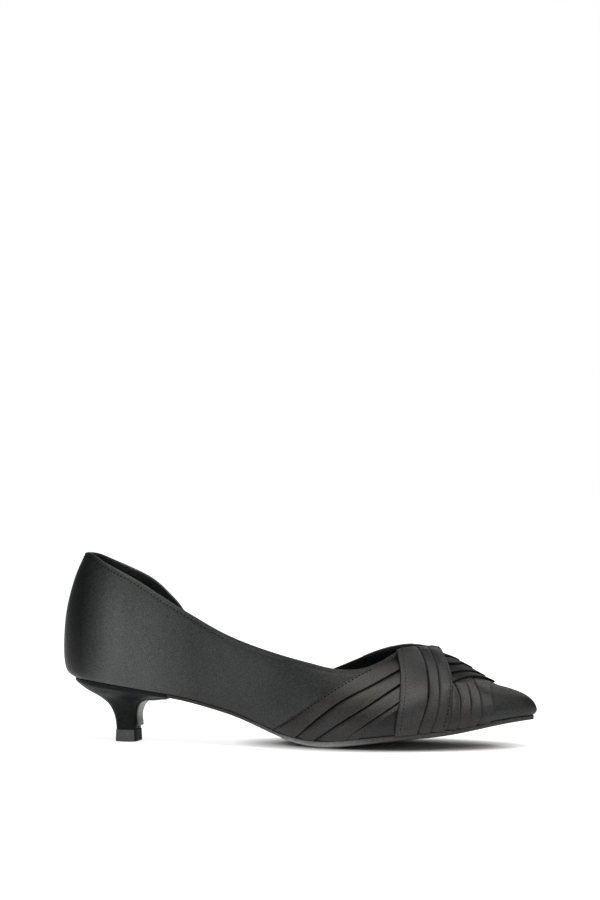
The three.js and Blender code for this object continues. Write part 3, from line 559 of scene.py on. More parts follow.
lining = grained(
    "lining_cloth", (700.0, 3.0), grey(0.006), grey(0.016), 0.05, stops=(0.35, 0.7),
    Roughness=0.8, Specular_IOR_Level=0.3)
thread = grained(
    "sewing_thread", (2600.0, 1.0), grey(0.001), grey(0.004), 0.03, Roughness=0.7, Specular_IOR_Level=0.1)
sock_leather = grained(
    "sock_leather", (420.0, 4.0, 0.6), grey(0.009), (0.024, 0.023, 0.022), 0.12, (0.5, 0.75), (0.3, 0.75),
    Roughness=0.6, Specular_IOR_Level=0.35)
heel_paint = grained(
    "heel_paint", (800.0, 3.0), (0.005, 0.0055, 0.006), (0.012, 0.0128, 0.0135), 0.02, (0.36, 0.52),
    Roughness=0.5, Specular_IOR_Level=0.05)
tip_rubber = grained(
    "tip_rubber", (1500.0, 3.0), (0.034, 0.038, 0.038), (0.066, 0.072, 0.072), 0.05, (0.52, 0.72),
    Roughness=0.62, Specular_IOR_Level=0.4)
cover_skin = grained(
    "cover_skin", (1.0, 2.0), grey(0.05), (0.11, 0.109, 0.107), 0.02, (0.3, 0.45), weave=(300, 1800),
    Roughness=0.35, Specular_IOR_Level=0.5)

# The face toward the arch: moulded ridges in relief and colour, and a darker colour than the tip rubber, a
# painted shade.
tip_breast_ridges_and_shade = Finish("tip_breast_ridges_and_shade", Roughness=0.7, Specular_IOR_Level=0.15)
ridges = tip_breast_ridges_and_shade.node("TexWave", {"Scale": 900.0}, bands_direction="Z").outputs["Fac"]
tip_breast_ridges_and_shade.colour(tip_breast_ridges_and_shade.tint(ridges, (0.2, (0.008, 0.009, 0.009)), (0.8, (0.022, 0.024, 0.024))))
tip_breast_ridges_and_shade.bump(ridges, 0.08)
print("heel finishes:", heel_paint.material.name, tip_rubber.material.name, tip_breast_ridges_and_shade.material.name)

# %% Sole rubber: paler where the arch meets the tread, a painted highlight, and darker under the heel and the toe
SOLE_TONE_AND_HIGHLIGHT = [(0.24, 0.25), (0.42, 0.35), (0.49, 1.5), (0.58, 1.5), (0.68, 0.4), (1.0, 0.35)]
sole_rubber = Finish("sole_rubber", Roughness=0.6, Specular_IOR_Level=0.2)
crumb = sole_rubber.noise(sole_rubber.body(), 900.0, 4.0)
wear = sole_rubber.spread(sole_rubber.noise(sole_rubber.body(), 60.0, 3.0), 0.0, 1.0)
fresh = sole_rubber.tint(crumb, (0.3, grey(0.045)), (0.7, (0.11, 0.11, 0.107)))
worn = sole_rubber.tint(crumb, (0.3, (0.07, 0.07, 0.068)), (0.7, (0.15, 0.148, 0.143)))
# Along the shoe the colour is multiplied by a ramp: a painted highlight where the arch meets the tread,
# darker under the heel and the toe.
tone_and_highlight = sole_rubber.tint(
    sole_rubber.way("X", -HALF_LENGTH, HALF_LENGTH), *[(place, grey(value)) for place, value in SOLE_TONE_AND_HIGHLIGHT])
sole_rubber.colour(sole_rubber.vector("MULTIPLY", sole_rubber.blend(wear, fresh, worn), tone_and_highlight))
sole_rubber.roughness(sole_rubber.spread(crumb, 0.5, 0.7))
sole_rubber.bump(crumb, 0.05)
print("sole tones run from", min(t for _, t in SOLE_TONE_AND_HIGHLIGHT), "to", max(t for _, t in SOLE_TONE_AND_HIGHLIGHT))

# %% [markdown]
# ## The satin upper
#
# The upper is one shell of lined satin. Its cloth is folded over the top line, so each cross section runs
# up the outside, rolls over the edge and comes down the lined inside. A few soft creases, listed one by one
# in the shoe's own sizes, keep the satin from looking like paint. In front of the throat both halves
# meet on the ridge and there is no edge, so the faces of the roll are left out there.

# %% Soft creases in the plain satin
CREASES = table("x place to_x to_place width depth", [
    (-96, -0.97, -60, -0.9, 3.5, 0.25),
    (-58, -0.5, -22, -0.62, 5.5, 0.22),
    (-34, -0.78, -4, -0.86, 5.0, 0.2),
    (-70, -0.72, -44, -0.6, 6.0, 0.16),
    (-26, -0.93, 2, -0.965, 3.0, 0.16),
    (-118, -0.7, -100, -0.82, 5.0, 0.14),
    (-98, 0.95, -66, 0.88, 3.5, 0.25),
    (-90, 0.6, -74, 0.72, 5.0, 0.2),
    (104, -0.55, 122, -0.68, 2.6, 0.1),
    (106, 0.5, 122, 0.64, 2.6, 0.1),
    (100, -0.9, 118, -0.84, 2.2, 0.1),
])
PLACE_SPAN = 52.0
print("creases placed by hand:", len(CREASES["x"]))


def crease_depth(x, place):
    """Sum of the creases at a point: a soft trough with a low ridge on both sides."""
    total = np.zeros_like(x)
    for ax, ap, bx, bp, width, depth in zip(*CREASES.values()):
        start, end = np.array([ax, ap * PLACE_SPAN]), np.array([bx, bp * PLACE_SPAN])
        way = end - start
        rel_x, rel_p = x - start[0], place * PLACE_SPAN - start[1]
        along = np.clip((rel_x * way[0] + rel_p * way[1]) / (way @ way), 0, 1)
        away = np.hypot(rel_x - along * way[0], rel_p - along * way[1]) / width
        fade = np.sin(np.pi * np.clip(along, 0.02, 0.98)) ** 0.5
        total -= depth * fade * (1.0 - away**2) * np.exp(-(away**2))
    return total


# %% Stations of the upper: closer together near the throat and at the toe
UP_STEPS, ROLL_STEPS, DOWN_STEPS = 54, 8, 22
open_stations = np.concatenate([
    np.linspace(-1, 0, 44)[:-1], np.linspace(0, 3, 56)[:-1], np.linspace(3, THROAT_FROM, 72)[:-1],
    THROAT - (THROAT - THROAT_FROM) * np.linspace(1, 0, 56) ** 1.7,
])
vamp_stations = np.concatenate([
    np.linspace(THROAT, TOE_SECTION, 34)[1:], np.linspace(TOE_SECTION, LAST_SECTION, 76)[1:]])
half_stations = np.concatenate([open_stations, vamp_stations])
shell_t = np.concatenate([half_stations[::-1], half_stations[1:]])
shell_side = np.concatenate([-np.ones(len(half_stations)), np.ones(len(half_stations) - 1)])
half_top = {side: topline_climb(side, half_stations) for side in (-1, 1)}
for side in (-1, 1):
    half_top[side][half_stations >= THROAT] = 1
shell_top = np.concatenate([half_top[-1][::-1], half_top[1][1:]])
is_open = np.concatenate([(half_stations < THROAT)[::-1], (half_stations < THROAT)[1:]])
print("the upper has", len(shell_t), "sections")

# %% The outside of each section, and the way past its edge
up = np.linspace(0, 1, UP_STEPS)
tight = 0.6 * shell_top[:, None]
climb = shell_top[:, None] * (up * (1 - tight) + up**2 * tight)
outer_place = shell_side[:, None] * (1 - climb)
outer = last_point(shell_t[:, None], outer_place)
normal = last_normal(shell_t[:, None], outer_place)
edge, edge_normal = outer[:, -1], normal[:, -1]
edge_way = unit(np.gradient(edge, axis=0))
beyond = unit(np.cross(edge_way, edge_normal))
beyond *= np.sign((beyond * (edge - outer[:, -3])).sum(-1, keepdims=True) + 1e-9)
print("top line is", round(float(np.linalg.norm(np.diff(edge[is_open], axis=0), axis=1).sum())), "mm long")

# %% Rolling the cloth over the edge
TURN_IN, TURN_IN_THICKNESS, TURN_IN_BLUR = 3.4, 0.22, 0.12
STITCH_LINE, STITCH_TROUGH, STITCH_TROUGH_WIDTH = 2.1, 0.2, 0.45
FOLD_SWELL, FOLD_SWELL_WIDTH = 0.1, 1.5
LINING_LAP = 0.2
below_edge = np.linalg.norm(outer - edge[:, None], axis=-1)
from_row = (below_edge - STITCH_LINE) / STITCH_TROUGH_WIDTH
stitched = -STITCH_TROUGH * np.exp(-(from_row**2)) * is_open[:, None]
fold_swell = FOLD_SWELL * np.exp(-((below_edge / FOLD_SWELL_WIDTH) ** 2)) * is_open[:, None]
lift = crease_depth(outer[..., 0], outer_place) + stitched + fold_swell
outer_cloth = outer + normal * lift[..., None]
roll = np.linspace(0, np.pi, ROLL_STEPS + 2)[1:-1]
middle = edge - edge_normal * WALL / 2
rolled = middle[:, None] + (WALL / 2) * (
    edge_normal[:, None] * np.cos(roll)[:, None] + beyond[:, None] * np.sin(roll)[:, None] * 0.9)
inner_index = np.linspace(UP_STEPS - 1, 0, DOWN_STEPS).round().astype(int)
inner_below = below_edge[:, inner_index]
turned_in = TURN_IN_THICKNESS / (1 + np.exp((inner_below - TURN_IN) / TURN_IN_BLUR))
inner = outer[:, inner_index] - normal[:, inner_index] * (WALL - LINING_LAP + turned_in)[..., None]
sections = np.concatenate([outer_cloth, rolled, inner], axis=1)

# %% The upper as one shell, lined below the turned edge
closed_roll = np.zeros((len(shell_t) - 1, sections.shape[1]), bool)
shut = ~(is_open[:-1] | is_open[1:])
closed_roll[shut, UP_STEPS - 1 : UP_STEPS + ROLL_STEPS] = True
inside = np.zeros((len(shell_t), sections.shape[1]), bool)
inside[:, UP_STEPS + ROLL_STEPS :] = (inner_below > TURN_IN) | ~is_open[:, None]
upper_satin = ribbed_solid(
    "upper_satin", sections, skip=closed_roll, caps=False, sharp=70, paint=inside[:-1] & inside[1:])
dress(upper_satin, plain_satin, lining)
settle(upper_satin, "satin", "upper")

# %% [markdown]
# ## Pleated bands
#
# Two bands cross over the instep like an X, and short upright pleats fill the space in front of them. A
# pleat is one fold of satin: it comes out from under its neighbour, rises, and turns back under itself at
# its front. So a band is modelled as one long zigzag section, with a round nose at each fold and a deep
# narrow gap behind the next pleat, and not as a bumpy plate: the thin black line that pleats show comes
# from a real overhang together with a painted shade in the gap.

# %% Fold lines as shares of shoe length
OVER_BAND = table("place a b c d", [
    (-1, 0.72, 0.762, 0.787, 0.817), (-0.85, 0.726, 0.773, 0.799, 0.827),
    (-0.7, 0.729, 0.78, 0.803, 0.83), (-0.55, 0.727, 0.778, 0.802, 0.829),
    (-0.4, 0.718, 0.769, 0.796, 0.822), (-0.25, 0.713, 0.752, 0.78, 0.811),
    (-0.1, 0.709, 0.736, 0.766, 0.801), (0, 0.704, 0.728, 0.758, 0.796),
    (0.15, 0.689, 0.717, 0.746, 0.788), (0.3, 0.677, 0.707, 0.737, 0.775),
    (0.45, 0.655, 0.69, 0.723, 0.76), (0.6, 0.62, 0.666, 0.703, 0.74),
    (0.75, 0.572, 0.628, 0.675, 0.711), (0.9, 0.508, 0.564, 0.625, 0.674),
    (1, 0.466, 0.523, 0.568, 0.636),
])
UNDER_BAND = table("place a b c d e", [
    (-1, 0.466, 0.517, 0.551, 0.617, 0.643), (-0.9, 0.515, 0.56, 0.613, 0.67, 0.692),
    (-0.8, 0.562, 0.608, 0.668, 0.717, 0.736), (-0.7, 0.611, 0.662, 0.709, 0.749, 0.766),
    (-0.6, 0.655, 0.702, 0.742, 0.777, 0.798), (-0.5, 0.696, 0.732, 0.768, 0.804, 0.832),
    (-0.4, 0.719, 0.755, 0.794, 0.828, 0.851), (-0.3, 0.742, 0.775, 0.815, 0.845, 0.864),
    (-0.2, 0.764, 0.796, 0.836, 0.858, 0.877), (-0.1, 0.783, 0.815, 0.845, 0.868, 0.888),
    (0, 0.802, 0.832, 0.857, 0.879, 0.896), (0.15, 0.802, 0.836, 0.858, 0.881, 0.899),
    (0.4, 0.772, 0.802, 0.828, 0.851, 0.872), (0.7, 0.742, 0.77, 0.796, 0.825, 0.847),
    (1, 0.719, 0.745, 0.77, 0.798, 0.825),
])
UPRIGHT = table("place a b c d e", [
    (0, 0.8, 0.806, 0.836, 0.852, 0.8947), (0.2, 0.805, 0.811, 0.841, 0.857, 0.8957),
    (0.4, 0.815, 0.821, 0.851, 0.867, 0.8987), (0.5, 0.822, 0.831, 0.858, 0.875, 0.9017),
    (0.6, 0.828, 0.84, 0.863, 0.881, 0.9057), (0.7, 0.832, 0.845, 0.867, 0.884, 0.9087),
    (0.8, 0.832, 0.846, 0.868, 0.886, 0.9117), (0.9, 0.83, 0.845, 0.866, 0.885, 0.9117),
    (1, 0.822, 0.841, 0.858, 0.879, 0.9067),
])


def fold_lines(rows):
    curves = [curve(rows["place"], rows[name]) for name in rows if name != "place"]
    return lambda place: np.stack([SHOE_LENGTH * line(place) - HALF_LENGTH for line in curves], -1)


over_folds, under_folds, upright_folds = map(fold_lines, (OVER_BAND, UNDER_BAND, UPRIGHT))
print("over the ridge the upper band runs from", over_folds(0.0)[[0, -1]].round(1), "mm")

# %% Where the top line crosses a band, and how high one band rides on the other
LOWEST_OPEN_SECTION = {-1: 6.4, 1: 4.3}
edge_tables = {}
for side, first in LOWEST_OPEN_SECTION.items():
    edge_t = np.linspace(first, throat_station(side), 2000)
    edge_climb = np.maximum.accumulate(topline_climb(side, edge_t))
    edge_tables[side] = edge_climb, section_values(edge_t)["x"]


def topline_x(place):
    climb = 1 - np.abs(place)
    found = [np.interp(climb, *edge_tables[side], left=-HALF_LENGTH) for side in (-1, 1)]
    return np.where(place < 0, found[0], found[1])


def smooth_step(x, low, high):
    share = np.clip((x - low) / (high - low), 0, 1)
    return share * share * (3 - 2 * share)


BAND_GAP, UNDER_HEIGHT = 0.1, 1.6
LIFT_MARGIN, LIFT_RAMP, FRONT_MARGIN, FRONT_RAMP = 3.2, 7.0, 2.0, 26.0


def plain_layer(x, place):
    """Lift of a band that lies straight on the upper."""
    return BAND_GAP + 0 * x


def over_layer(x, place):
    """Lift of the over band: it climbs over the under band and comes down again."""
    folds = under_folds(place)
    behind = smooth_step(x, folds[..., 0] - LIFT_MARGIN - LIFT_RAMP, folds[..., 0] - LIFT_MARGIN)
    front = folds[..., -1] + FRONT_MARGIN
    ahead = 1 - smooth_step(x, front, front + FRONT_RAMP)
    return BAND_GAP + 0.02 + UNDER_HEIGHT * behind * ahead


# %% [markdown]
# ## The face of a band
#
# Each pleat starts tucked under its neighbour, rises slowly and ends in a round nose that turns back
# under itself. A painted shade for the gap and for the underside of the nose is written beside the shape,
# so that the satin can darken its colour and gloss there. Sewn pleats are never quite even, so the folds
# wander a little and swell a little, by slow waves that are the same in each run.

# %% The face of a pleated band
NOSE = 0.55
TUCKED, RAISED = 0.25, 1.85
RISE_STEPS, NOSE_STEPS, BACK_STEPS, EDGE_TURNS = 11, 6, 10, 7
PULL_DOWN, GAP_CLOSES, GAP_DARK_WIDTH = 0.25, 0.6, 0.22


def pleat_rise(share, gap=0.08):
    """Height of a pleat from its tucked rear at 0 to its fold at 1. It stays low over the gap."""
    share = np.clip((share - gap) / (1 - gap), 0, 1)
    return 0.84 * np.sin(share * np.pi / 2) ** 0.9 + 0.16 * share**6


def wander(place, index, amount=0.3):
    """Hand-sewn pleats are never quite straight: a slow wave along each fold."""
    return amount * (np.sin(5.3 * place + 1.9 * index) + 0.5 * np.sin(11.7 * place + 4.1 * index))


def pull(places):
    """Near both feather lines the cloth is drawn down to the sole."""
    return 1 - PULL_DOWN * smooth_step(np.abs(places), 0.9, 1.0)[:, None]


def band_face(places, folds, heights, seed, front, relief):
    """The face from rear to front: way along the shoe, height, and the painted shade of the gap and the nose
    at each point.
    """
    share, turn = np.linspace(0, 1, RISE_STEPS)[None], np.linspace(0.15, np.pi * 0.95, NOSE_STEPS)[None]
    stand = 1 if relief is None else relief(places)[:, None]
    last = len(heights) - 1
    columns = []
    for k, (low, high, gap) in enumerate(heights):
        gap = gap * (1 - GAP_CLOSES * smooth_step(np.abs(places), 0.6, 0.95))[:, None]
        swell = 1 + 0.08 * np.sin(7.1 * places + 2.3 * (k + seed))[:, None]
        start = folds[:, k : k + 1] - (NOSE * 1.3 if k else 0)
        end = folds[:, k + 1 : k + 2] - NOSE
        peak = low + (high * swell * pull(places) - low) * (stand if k < last else (1 + stand) / 2)
        climb = low + (peak - low) * pleat_rise(share, gap)
        if k == last:
            climb = climb * (1 - (1 - front) * smooth_step(share, 0.6, 1.0))
        # Painted shade in the gap behind each pleat that tucks under its neighbour.
        dark = (1 - smooth_step(share, gap, gap + GAP_DARK_WIDTH)) * (k > 0)
        columns.append((start + (end - start) * share, climb, dark))
        radius = np.minimum(NOSE, climb[:, -1:] / 2)
        nose = end + radius * np.sin(turn)
        # Painted shade on the underside of the nose, where the cloth turns back under itself.
        nose_painted_shade = smooth_step(turn, 0.9, 1.9) + 0 * nose
        columns.append((nose, climb[:, -1:] - radius * (1 - np.cos(turn)), nose_painted_shade))
    return [np.concatenate([column[k] for column in columns], 1) for k in range(3)]


def height_at_rear(places, folds, heights, rear):
    """Height of the face where its rear is cut off by the top line or by another band."""
    found = np.zeros_like(rear)
    for k, (low, high, _) in enumerate(heights):
        start, end = folds[:, k : k + 1], folds[:, k + 1 : k + 2]
        reached = (rear >= start) | (k == 0)
        share = (rear - start) / (end - start)
        found = np.where(reached, (low + (high - low) * pleat_rise(share)) * pull(places), found)
    return found


# %% [markdown]
# ## The whole section of a band
#
# Where a band reaches the top line, its cloth goes round the edge of the upper and ends as a flap inside
# the shoe; elsewhere it simply ends. To get both from one section, every part of the section keeps its
# number of points, and those that are not needed shrink to no length. At the edge the pleats are pressed
# flat, because all layers are caught there by one fold.

# %% Joining face, edge, flap and back
FLAP, FLAP_GAP, FLAP_CLOTH = 5.0, 0.1, 0.35
FLAP_RUN = np.linspace(1, 0, 4)[:-1]
EDGE_SET_BACK, EDGE_REACH, WRAP_MARGIN = 0.7, 1.6, 0.4
EDGE_PRESS, EDGE_PRESS_WIDTH, EDGE_HEIGHT = 0.9, 5.0, 1.0
SLIP_HEIGHT, SLIP_WIDTH = 0.3, 4.0
BACK_LIFT, BACK_SET_BACK = 0.02, 0.3


def flap(rear, wrapped, lift, run):
    x = rear + np.where(wrapped, FLAP, 0) * run[None]
    return x, lift + np.zeros_like(x)


def round_edge(rear, reach, top, low, turn):
    """Half a turn of cloth around an edge, between two heights."""
    return rear - reach * np.sin(turn), (top + low) / 2 + (top - low) / 2 * np.cos(turn)


def pleated_band(name, places, folds_at, layer_at, heights, wrap=True, seed=0, front=1.0, rear_gap=None,
                 painted_band_shade=None, relief=None):
    """heights gives each pleat's tucked height, raised height and gap; front is the height left at the last
    fold. painted_band_shade darkens the whole band place by place as a painted shade, and relief says how
    high its folds stand."""
    place, folds = places[:, None], folds_at(places)
    for k in range(1, len(heights)):
        folds[:, k] += wander(places, k + seed)
    rear = folds[:, 0] if rear_gap is None else np.maximum(folds[:, 0], rear_gap(places))
    if wrap:
        rear = np.maximum(rear, topline_x(places) + EDGE_SET_BACK)
    rear = rear[:, None]
    x, h, dark = band_face(places, folds, heights, seed, front, relief)
    at_rear = height_at_rear(places, folds, heights, rear)
    hidden = x < rear
    x, h, dark = np.maximum(x, rear), np.where(hidden, at_rear, h), np.where(hidden, 0, dark)
    cut = folds[:, :1] + WRAP_MARGIN
    wrapped = (rear > cut) & (topline_x(places)[:, None] > cut) & wrap
    pressed = EDGE_PRESS * wrapped * (1 - smooth_step(x - rear, 0, EDGE_PRESS_WIDTH))
    h = h * (1 - pressed) + EDGE_HEIGHT * pressed
    at_rear = np.where(wrapped, at_rear * (1 - EDGE_PRESS) + EDGE_HEIGHT * EDGE_PRESS, at_rear)
    if rear_gap is not None:
        h = h * (SLIP_HEIGHT + (1 - SLIP_HEIGHT) * smooth_step(x - rear, 0, SLIP_WIDTH))
        at_rear = at_rear * SLIP_HEIGHT

    lies = layer_at(rear, place)
    top, back = lies + at_rear, lies + BACK_LIFT
    low = np.where(wrapped, -(WALL + FLAP_GAP + FLAP_CLOTH), back + BACK_LIFT)
    inner = np.where(wrapped, -(WALL + FLAP_GAP), back)
    turn = np.linspace(np.pi, 0, EDGE_TURNS + 1)[None, :-1]
    reach = np.minimum((top - low) / 2, EDGE_REACH)
    inner_reach = np.where(wrapped, reach - FLAP_CLOTH, 0)
    back_x = rear + (x[:, -1:] - BACK_SET_BACK - rear) * np.linspace(1, 0, BACK_STEPS)[None]
    parts = [
        flap(rear, wrapped, low, FLAP_RUN),
        round_edge(rear, reach, top, low, turn),
        (x, layer_at(x, place) + h),
        (back_x, layer_at(back_x, place) + BACK_LIFT),
        round_edge(rear, inner_reach, back, inner, turn[:, ::-1]),
        flap(rear, wrapped, inner, FLAP_RUN[::-1]),
    ]
    all_x, all_lift = (np.concatenate([part[k] for part in parts], 1) for k in (0, 1))
    rings = over_last(all_x, place, all_lift)
    # Painted shade on the face of the band: the gaps and noses, and where asked the shade of the over band.
    painted_shade = np.zeros(rings.shape[:2])
    first = len(FLAP_RUN) + EDGE_TURNS
    painted_shade[:, first : first + x.shape[1]] = dark
    if painted_band_shade is not None:
        painted_shade = 1 - (1 - painted_shade) * (1 - painted_band_shade(place))
    return ribbed_solid(name, rings, sharp=75, painted_shade=painted_shade)


# %% Places across the vamp
def gathered(start, end, count):
    """Places across the vamp, closer together toward the feather lines."""
    s = np.linspace(start, end, count)
    return 0.995 * s * (1.25 - 0.25 * s * s)


# %% [markdown]
# ## The bands of this shoe
#
# The under band shows as a fan on the outer side, dives below the other band and comes out again over
# the instep, where it lies in shade and its folds are flatter. The over band climbs across it. The upright
# pleats start below both. Each is the same helper with its own folds and heights, so a change to the
# helper improves them all.

# %% The under band: a fan on the outer side, and the dark pleats across the instep
BAND_ROWS, UPRIGHT_ROWS = 260, 110


def between_bands(place, start, full, fade, end):
    """1 over the stretch of the instep that lies in the shade of the over band."""
    return smooth_step(place, start, full) * (1 - smooth_step(place, fade, end))


# Over the instep the under band is painted darker, a painted shade of the over band above it.
band_under = pleated_band(
    "band_under_satin", gathered(-1, 1, BAND_ROWS), under_folds, plain_layer,
    [(0.55, 1.35, 0), (TUCKED, RAISED, 0.08), (TUCKED, RAISED, 0.08), (TUCKED, 1.7, 0.08)],
    seed=1, front=0.95,
    painted_band_shade=lambda place: 0.74 * between_bands(place, -0.52, -0.44, 0.1, 0.3),
    relief=lambda place: 1 - 0.5 * between_bands(place, -0.5, -0.36, 0.2, 0.4))
dress(band_under, band_satin)
settle(band_under, "satin", "band_under")

# %% The over band, whose rear edge is a full fold
band_over = pleated_band(
    "band_over_satin", gathered(-1, 1, BAND_ROWS), over_folds, over_layer,
    [(1.2, RAISED, 0), (TUCKED, RAISED, 0.2), (TUCKED, 1.6, 0.1)], seed=5, front=0.9)
dress(band_over, band_satin)
settle(band_over, "satin", "band_over")

# %% Upright pleats between the bands and the plain toe
UPRIGHT_END = {-1: 0.09, 1: 0.22}
UPRIGHT_HEIGHTS = [(0.35, 1.2, 0), (TUCKED, 1.6, 0.12), (TUCKED, 1.6, 0.12), (TUCKED, 0.95, 0.1)]
UPRIGHT_OVERLAP = 0.1


def behind_upright(place):
    return np.maximum(under_folds(place)[..., -1], over_folds(place)[..., -1]) - UPRIGHT_OVERLAP


for side, name in ((-1, "lateral"), (1, "medial")):
    upright = pleated_band(
        f"pleats_{name}_satin", side * gathered(1, UPRIGHT_END[side], UPRIGHT_ROWS),
        lambda place: upright_folds(np.abs(place)), plain_layer, UPRIGHT_HEIGHTS, wrap=False, seed=9,
        rear_gap=behind_upright)
    dress(upright, band_satin)
    settle(upright, "satin", f"pleats_{name}")

# %% [markdown]
# ## Rows of stitches
#
# Folded edges are held by a fine row of stitches a couple of millimetres inside the edge. Each stitch is
# a short arc of thread that dips into the cloth at both ends. They are real geometry, because at this
# size a painted dash would slide off the folds.

# %% A row of stitches along a path
PITCH, STITCH_LENGTH, THREAD_RADIUS, STITCH_RISE, STITCH_SINK = 2.2, 1.4, 0.27, 0.12, 0.07
RIBS, SIDES = 6, 6


def stitch_row(name, path, normals):
    run = np.concatenate([[0], np.cumsum(np.linalg.norm(np.diff(path, axis=0), axis=1))])
    bow = np.sin(np.linspace(0, np.pi, RIBS))[:, None]
    girth = THREAD_RADIUS * (0.25 + 0.75 * bow**0.5)
    turn = np.linspace(0, 2 * np.pi, SIDES + 1)[:-1, None]
    cells = rib_faces(RIBS, SIDES, ring=True).reshape(-1, 4).tolist()
    cells += [list(range(SIDES)), list(range((RIBS - 1) * SIDES, RIBS * SIDES))[::-1]]
    points, faces = [], []
    for number in range(int(run[-1] / PITCH)):
        at = number * PITCH + np.linspace(0, STITCH_LENGTH, RIBS)
        centre = np.stack([np.interp(at, run, path[:, k]) for k in range(3)], -1)
        out = unit(np.stack([np.interp(at, run, normals[:, k]) for k in range(3)], -1))
        wide = unit(np.cross(unit(np.gradient(centre, axis=0)), out))
        centre = centre + out * (STITCH_RISE * bow - STITCH_SINK)
        ring = centre[:, None] + girth[:, None] * (wide[:, None] * np.cos(turn) + out[:, None] * np.sin(turn))
        first = number * RIBS * SIDES
        points.append(ring.reshape(-1, 3))
        faces += [[first + k for k in cell] for cell in cells]
    piece = finish_mesh(name, np.concatenate(points), faces)
    dress(piece, thread)
    return settle(piece, "satin")


# %% Stitches beside the top line
ROW_END = {-1: ("outer", 2.6), 1: ("inner", 2.2)}
SMALL_PLACE = 0.01


def beside_topline(side, t, distance):
    place = side * (1 - topline_climb(side, t))
    above, below = last_point(t, place), last_point(t, place + side * SMALL_PLACE)
    place = place + side * SMALL_PLACE * distance / np.linalg.norm(above - below, axis=-1)
    return last_point(t, place), last_normal(t, place)


for side, (name, end) in ROW_END.items():
    path, facing = beside_topline(side, np.linspace(-1, end, 500), STITCH_LINE)
    stitch_row(f"topline_stitches_{name}", path - facing * (STITCH_TROUGH / 2), facing)

# %% Stitches along the edges of the bands
def along_fold(folds_at, index, shift, layer_at, height, place_from, place_to):
    place = np.linspace(place_from, place_to, 300)
    x = folds_at(place)[..., index] + shift
    return over_last(x, place, layer_at(x, place) + height), last_normal(station_at(x), place)


BAND_SEAMS = [
    ("fan_rear", under_folds, 0, 1.2, plain_layer, 0.8, -0.97, -0.56),
    ("fan_front", under_folds, 4, -1.4, plain_layer, 1.22, -0.97, -0.72),
    ("over_rear", over_folds, 0, 2.0, over_layer, 1.22, -0.96, -0.3),
    ("over_front", over_folds, 3, -1.5, over_layer, 1.26, -0.96, -0.02),
    ("inner_rear", over_folds, 0, 1.2, over_layer, 1.2, 0.97, 0.62),
]
for name, *seam in BAND_SEAMS:
    stitch_row(f"stitches_{name}", *along_fold(*seam))

# %% [markdown]
# ## Sole
#
# Seen from the side, the sole is a thin strip of rubber that shows paler than the satin. A thicker tread
# covers only the forefoot, so there is a small step behind it, and its edge is finely notched there.

# %% Height of the sole at any place
TREAD_START, TREAD_STEP = -4.5, 0.5
SOLE_BULGE = 0.55


def bow_at(x, y):
    t = station_at(x)
    values = section_values(t)
    half = np.maximum(np.where(y < 0, values["lateral"], values["medial"]), 0.01)
    across = np.minimum(np.abs(y) / half, 1)
    return SOLE_CROWN * np.maximum(crown_share(share_at(x)), 0) * (1 - across**2)


def sole_bottom(x, y):
    return np.maximum(sole_edge(x) - bow_at(x, y), 0)


def sole_top(x, y):
    return sole_bottom(x, y) + SOLE_THICKNESS


# %% Tread, grooves and the notched edge
ACROSS_STEPS, EDGE_STEPS = 26, 7
GROOVE_DEPTH, GROOVE_PITCH, GROOVE_SHARE = 0.16, 3.0, 0.55
NOTCH_DEPTH, NOTCH_PITCH = 0.14, 0.95
TOE_END = LAST_SECTION - 0.002
sole_t = np.concatenate([
    np.linspace(station_at(HEEL_END - CLEARANCE), TOE_SECTION, 420),
    np.linspace(TOE_SECTION, TOE_END, 90)[1:],
])
outer_foot, inner_foot = last_point(sole_t, -1), last_point(sole_t, 1)
across = np.linspace(0, 1, ACROSS_STEPS)[None, :, None]
plan = outer_foot[:, None] + (inner_foot - outer_foot)[:, None] * across
sole_x, sole_y, edge_x = plan[..., 0], plan[..., 1], outer_foot[:, 0]
tread = smooth_step(sole_x, TREAD_START - 0.3, TREAD_START + 0.3)
grooved = smooth_step(sole_x, 4, 6) * (1 - smooth_step(sole_x, 70, 74))
grooved = grooved * (1 - smooth_step(np.abs(across[..., 0] - 0.5), 0.36, 0.4))
groove = GROOVE_DEPTH * (np.sin(sole_x * 2 * np.pi / GROOVE_PITCH) > GROOVE_SHARE) * grooved
top_z, bottom_z = sole_top(sole_x, sole_y), sole_bottom(sole_x, sole_y) + TREAD_STEP * (1 - tread)
bottom_z = bottom_z + groove * (bottom_z > 0.01)
notched = smooth_step(edge_x, -2, 0) * (1 - smooth_step(edge_x, 7, 10))
notch = NOTCH_DEPTH * np.sin(edge_x * 2 * np.pi / NOTCH_PITCH) * notched
print("sole between", bottom_z.min().round(2), "and", top_z.max().round(2), "mm")

# %% The outsole, with rounded sides
edge_turn = np.linspace(0, np.pi, EDGE_STEPS + 2)[1:-1]


def sole_side(k, way):
    """The rounded side of the sole at its outer (way -1) or inner edge."""
    top, low, foot = top_z[:, k, None], bottom_z[:, k, None], plan[:, k]
    height = (top + low) / 2 + (top - low) / 2 * np.cos(edge_turn)
    out = way * (SOLE_BULGE + notch[:, None]) * np.sin(edge_turn) ** 0.7
    return np.stack([foot[:, :1] + 0 * out, foot[:, 1:2] + out, height], -1)


top_rows = np.stack([sole_x, sole_y, top_z], -1)
bottom_rows = np.stack([sole_x, sole_y, bottom_z], -1)
sole_rings = np.concatenate([top_rows, sole_side(-1, 1), bottom_rows[:, ::-1], sole_side(0, -1)[:, ::-1]], 1)
outsole = ribbed_solid("outsole_rubber", sole_rings, sharp=60)
dress(outsole, sole_rubber)
settle(outsole, "sole", "outsole")

# %% [markdown]
# ## Sock
#
# The foot stands on a thin padded sock of smooth leather, glued to the board inside. Its edge runs a
# little into the wall of the upper, because any slit there would let the white floor shine through. The
# pad is a little lower at its edge, and a shallow rise supports the heel.

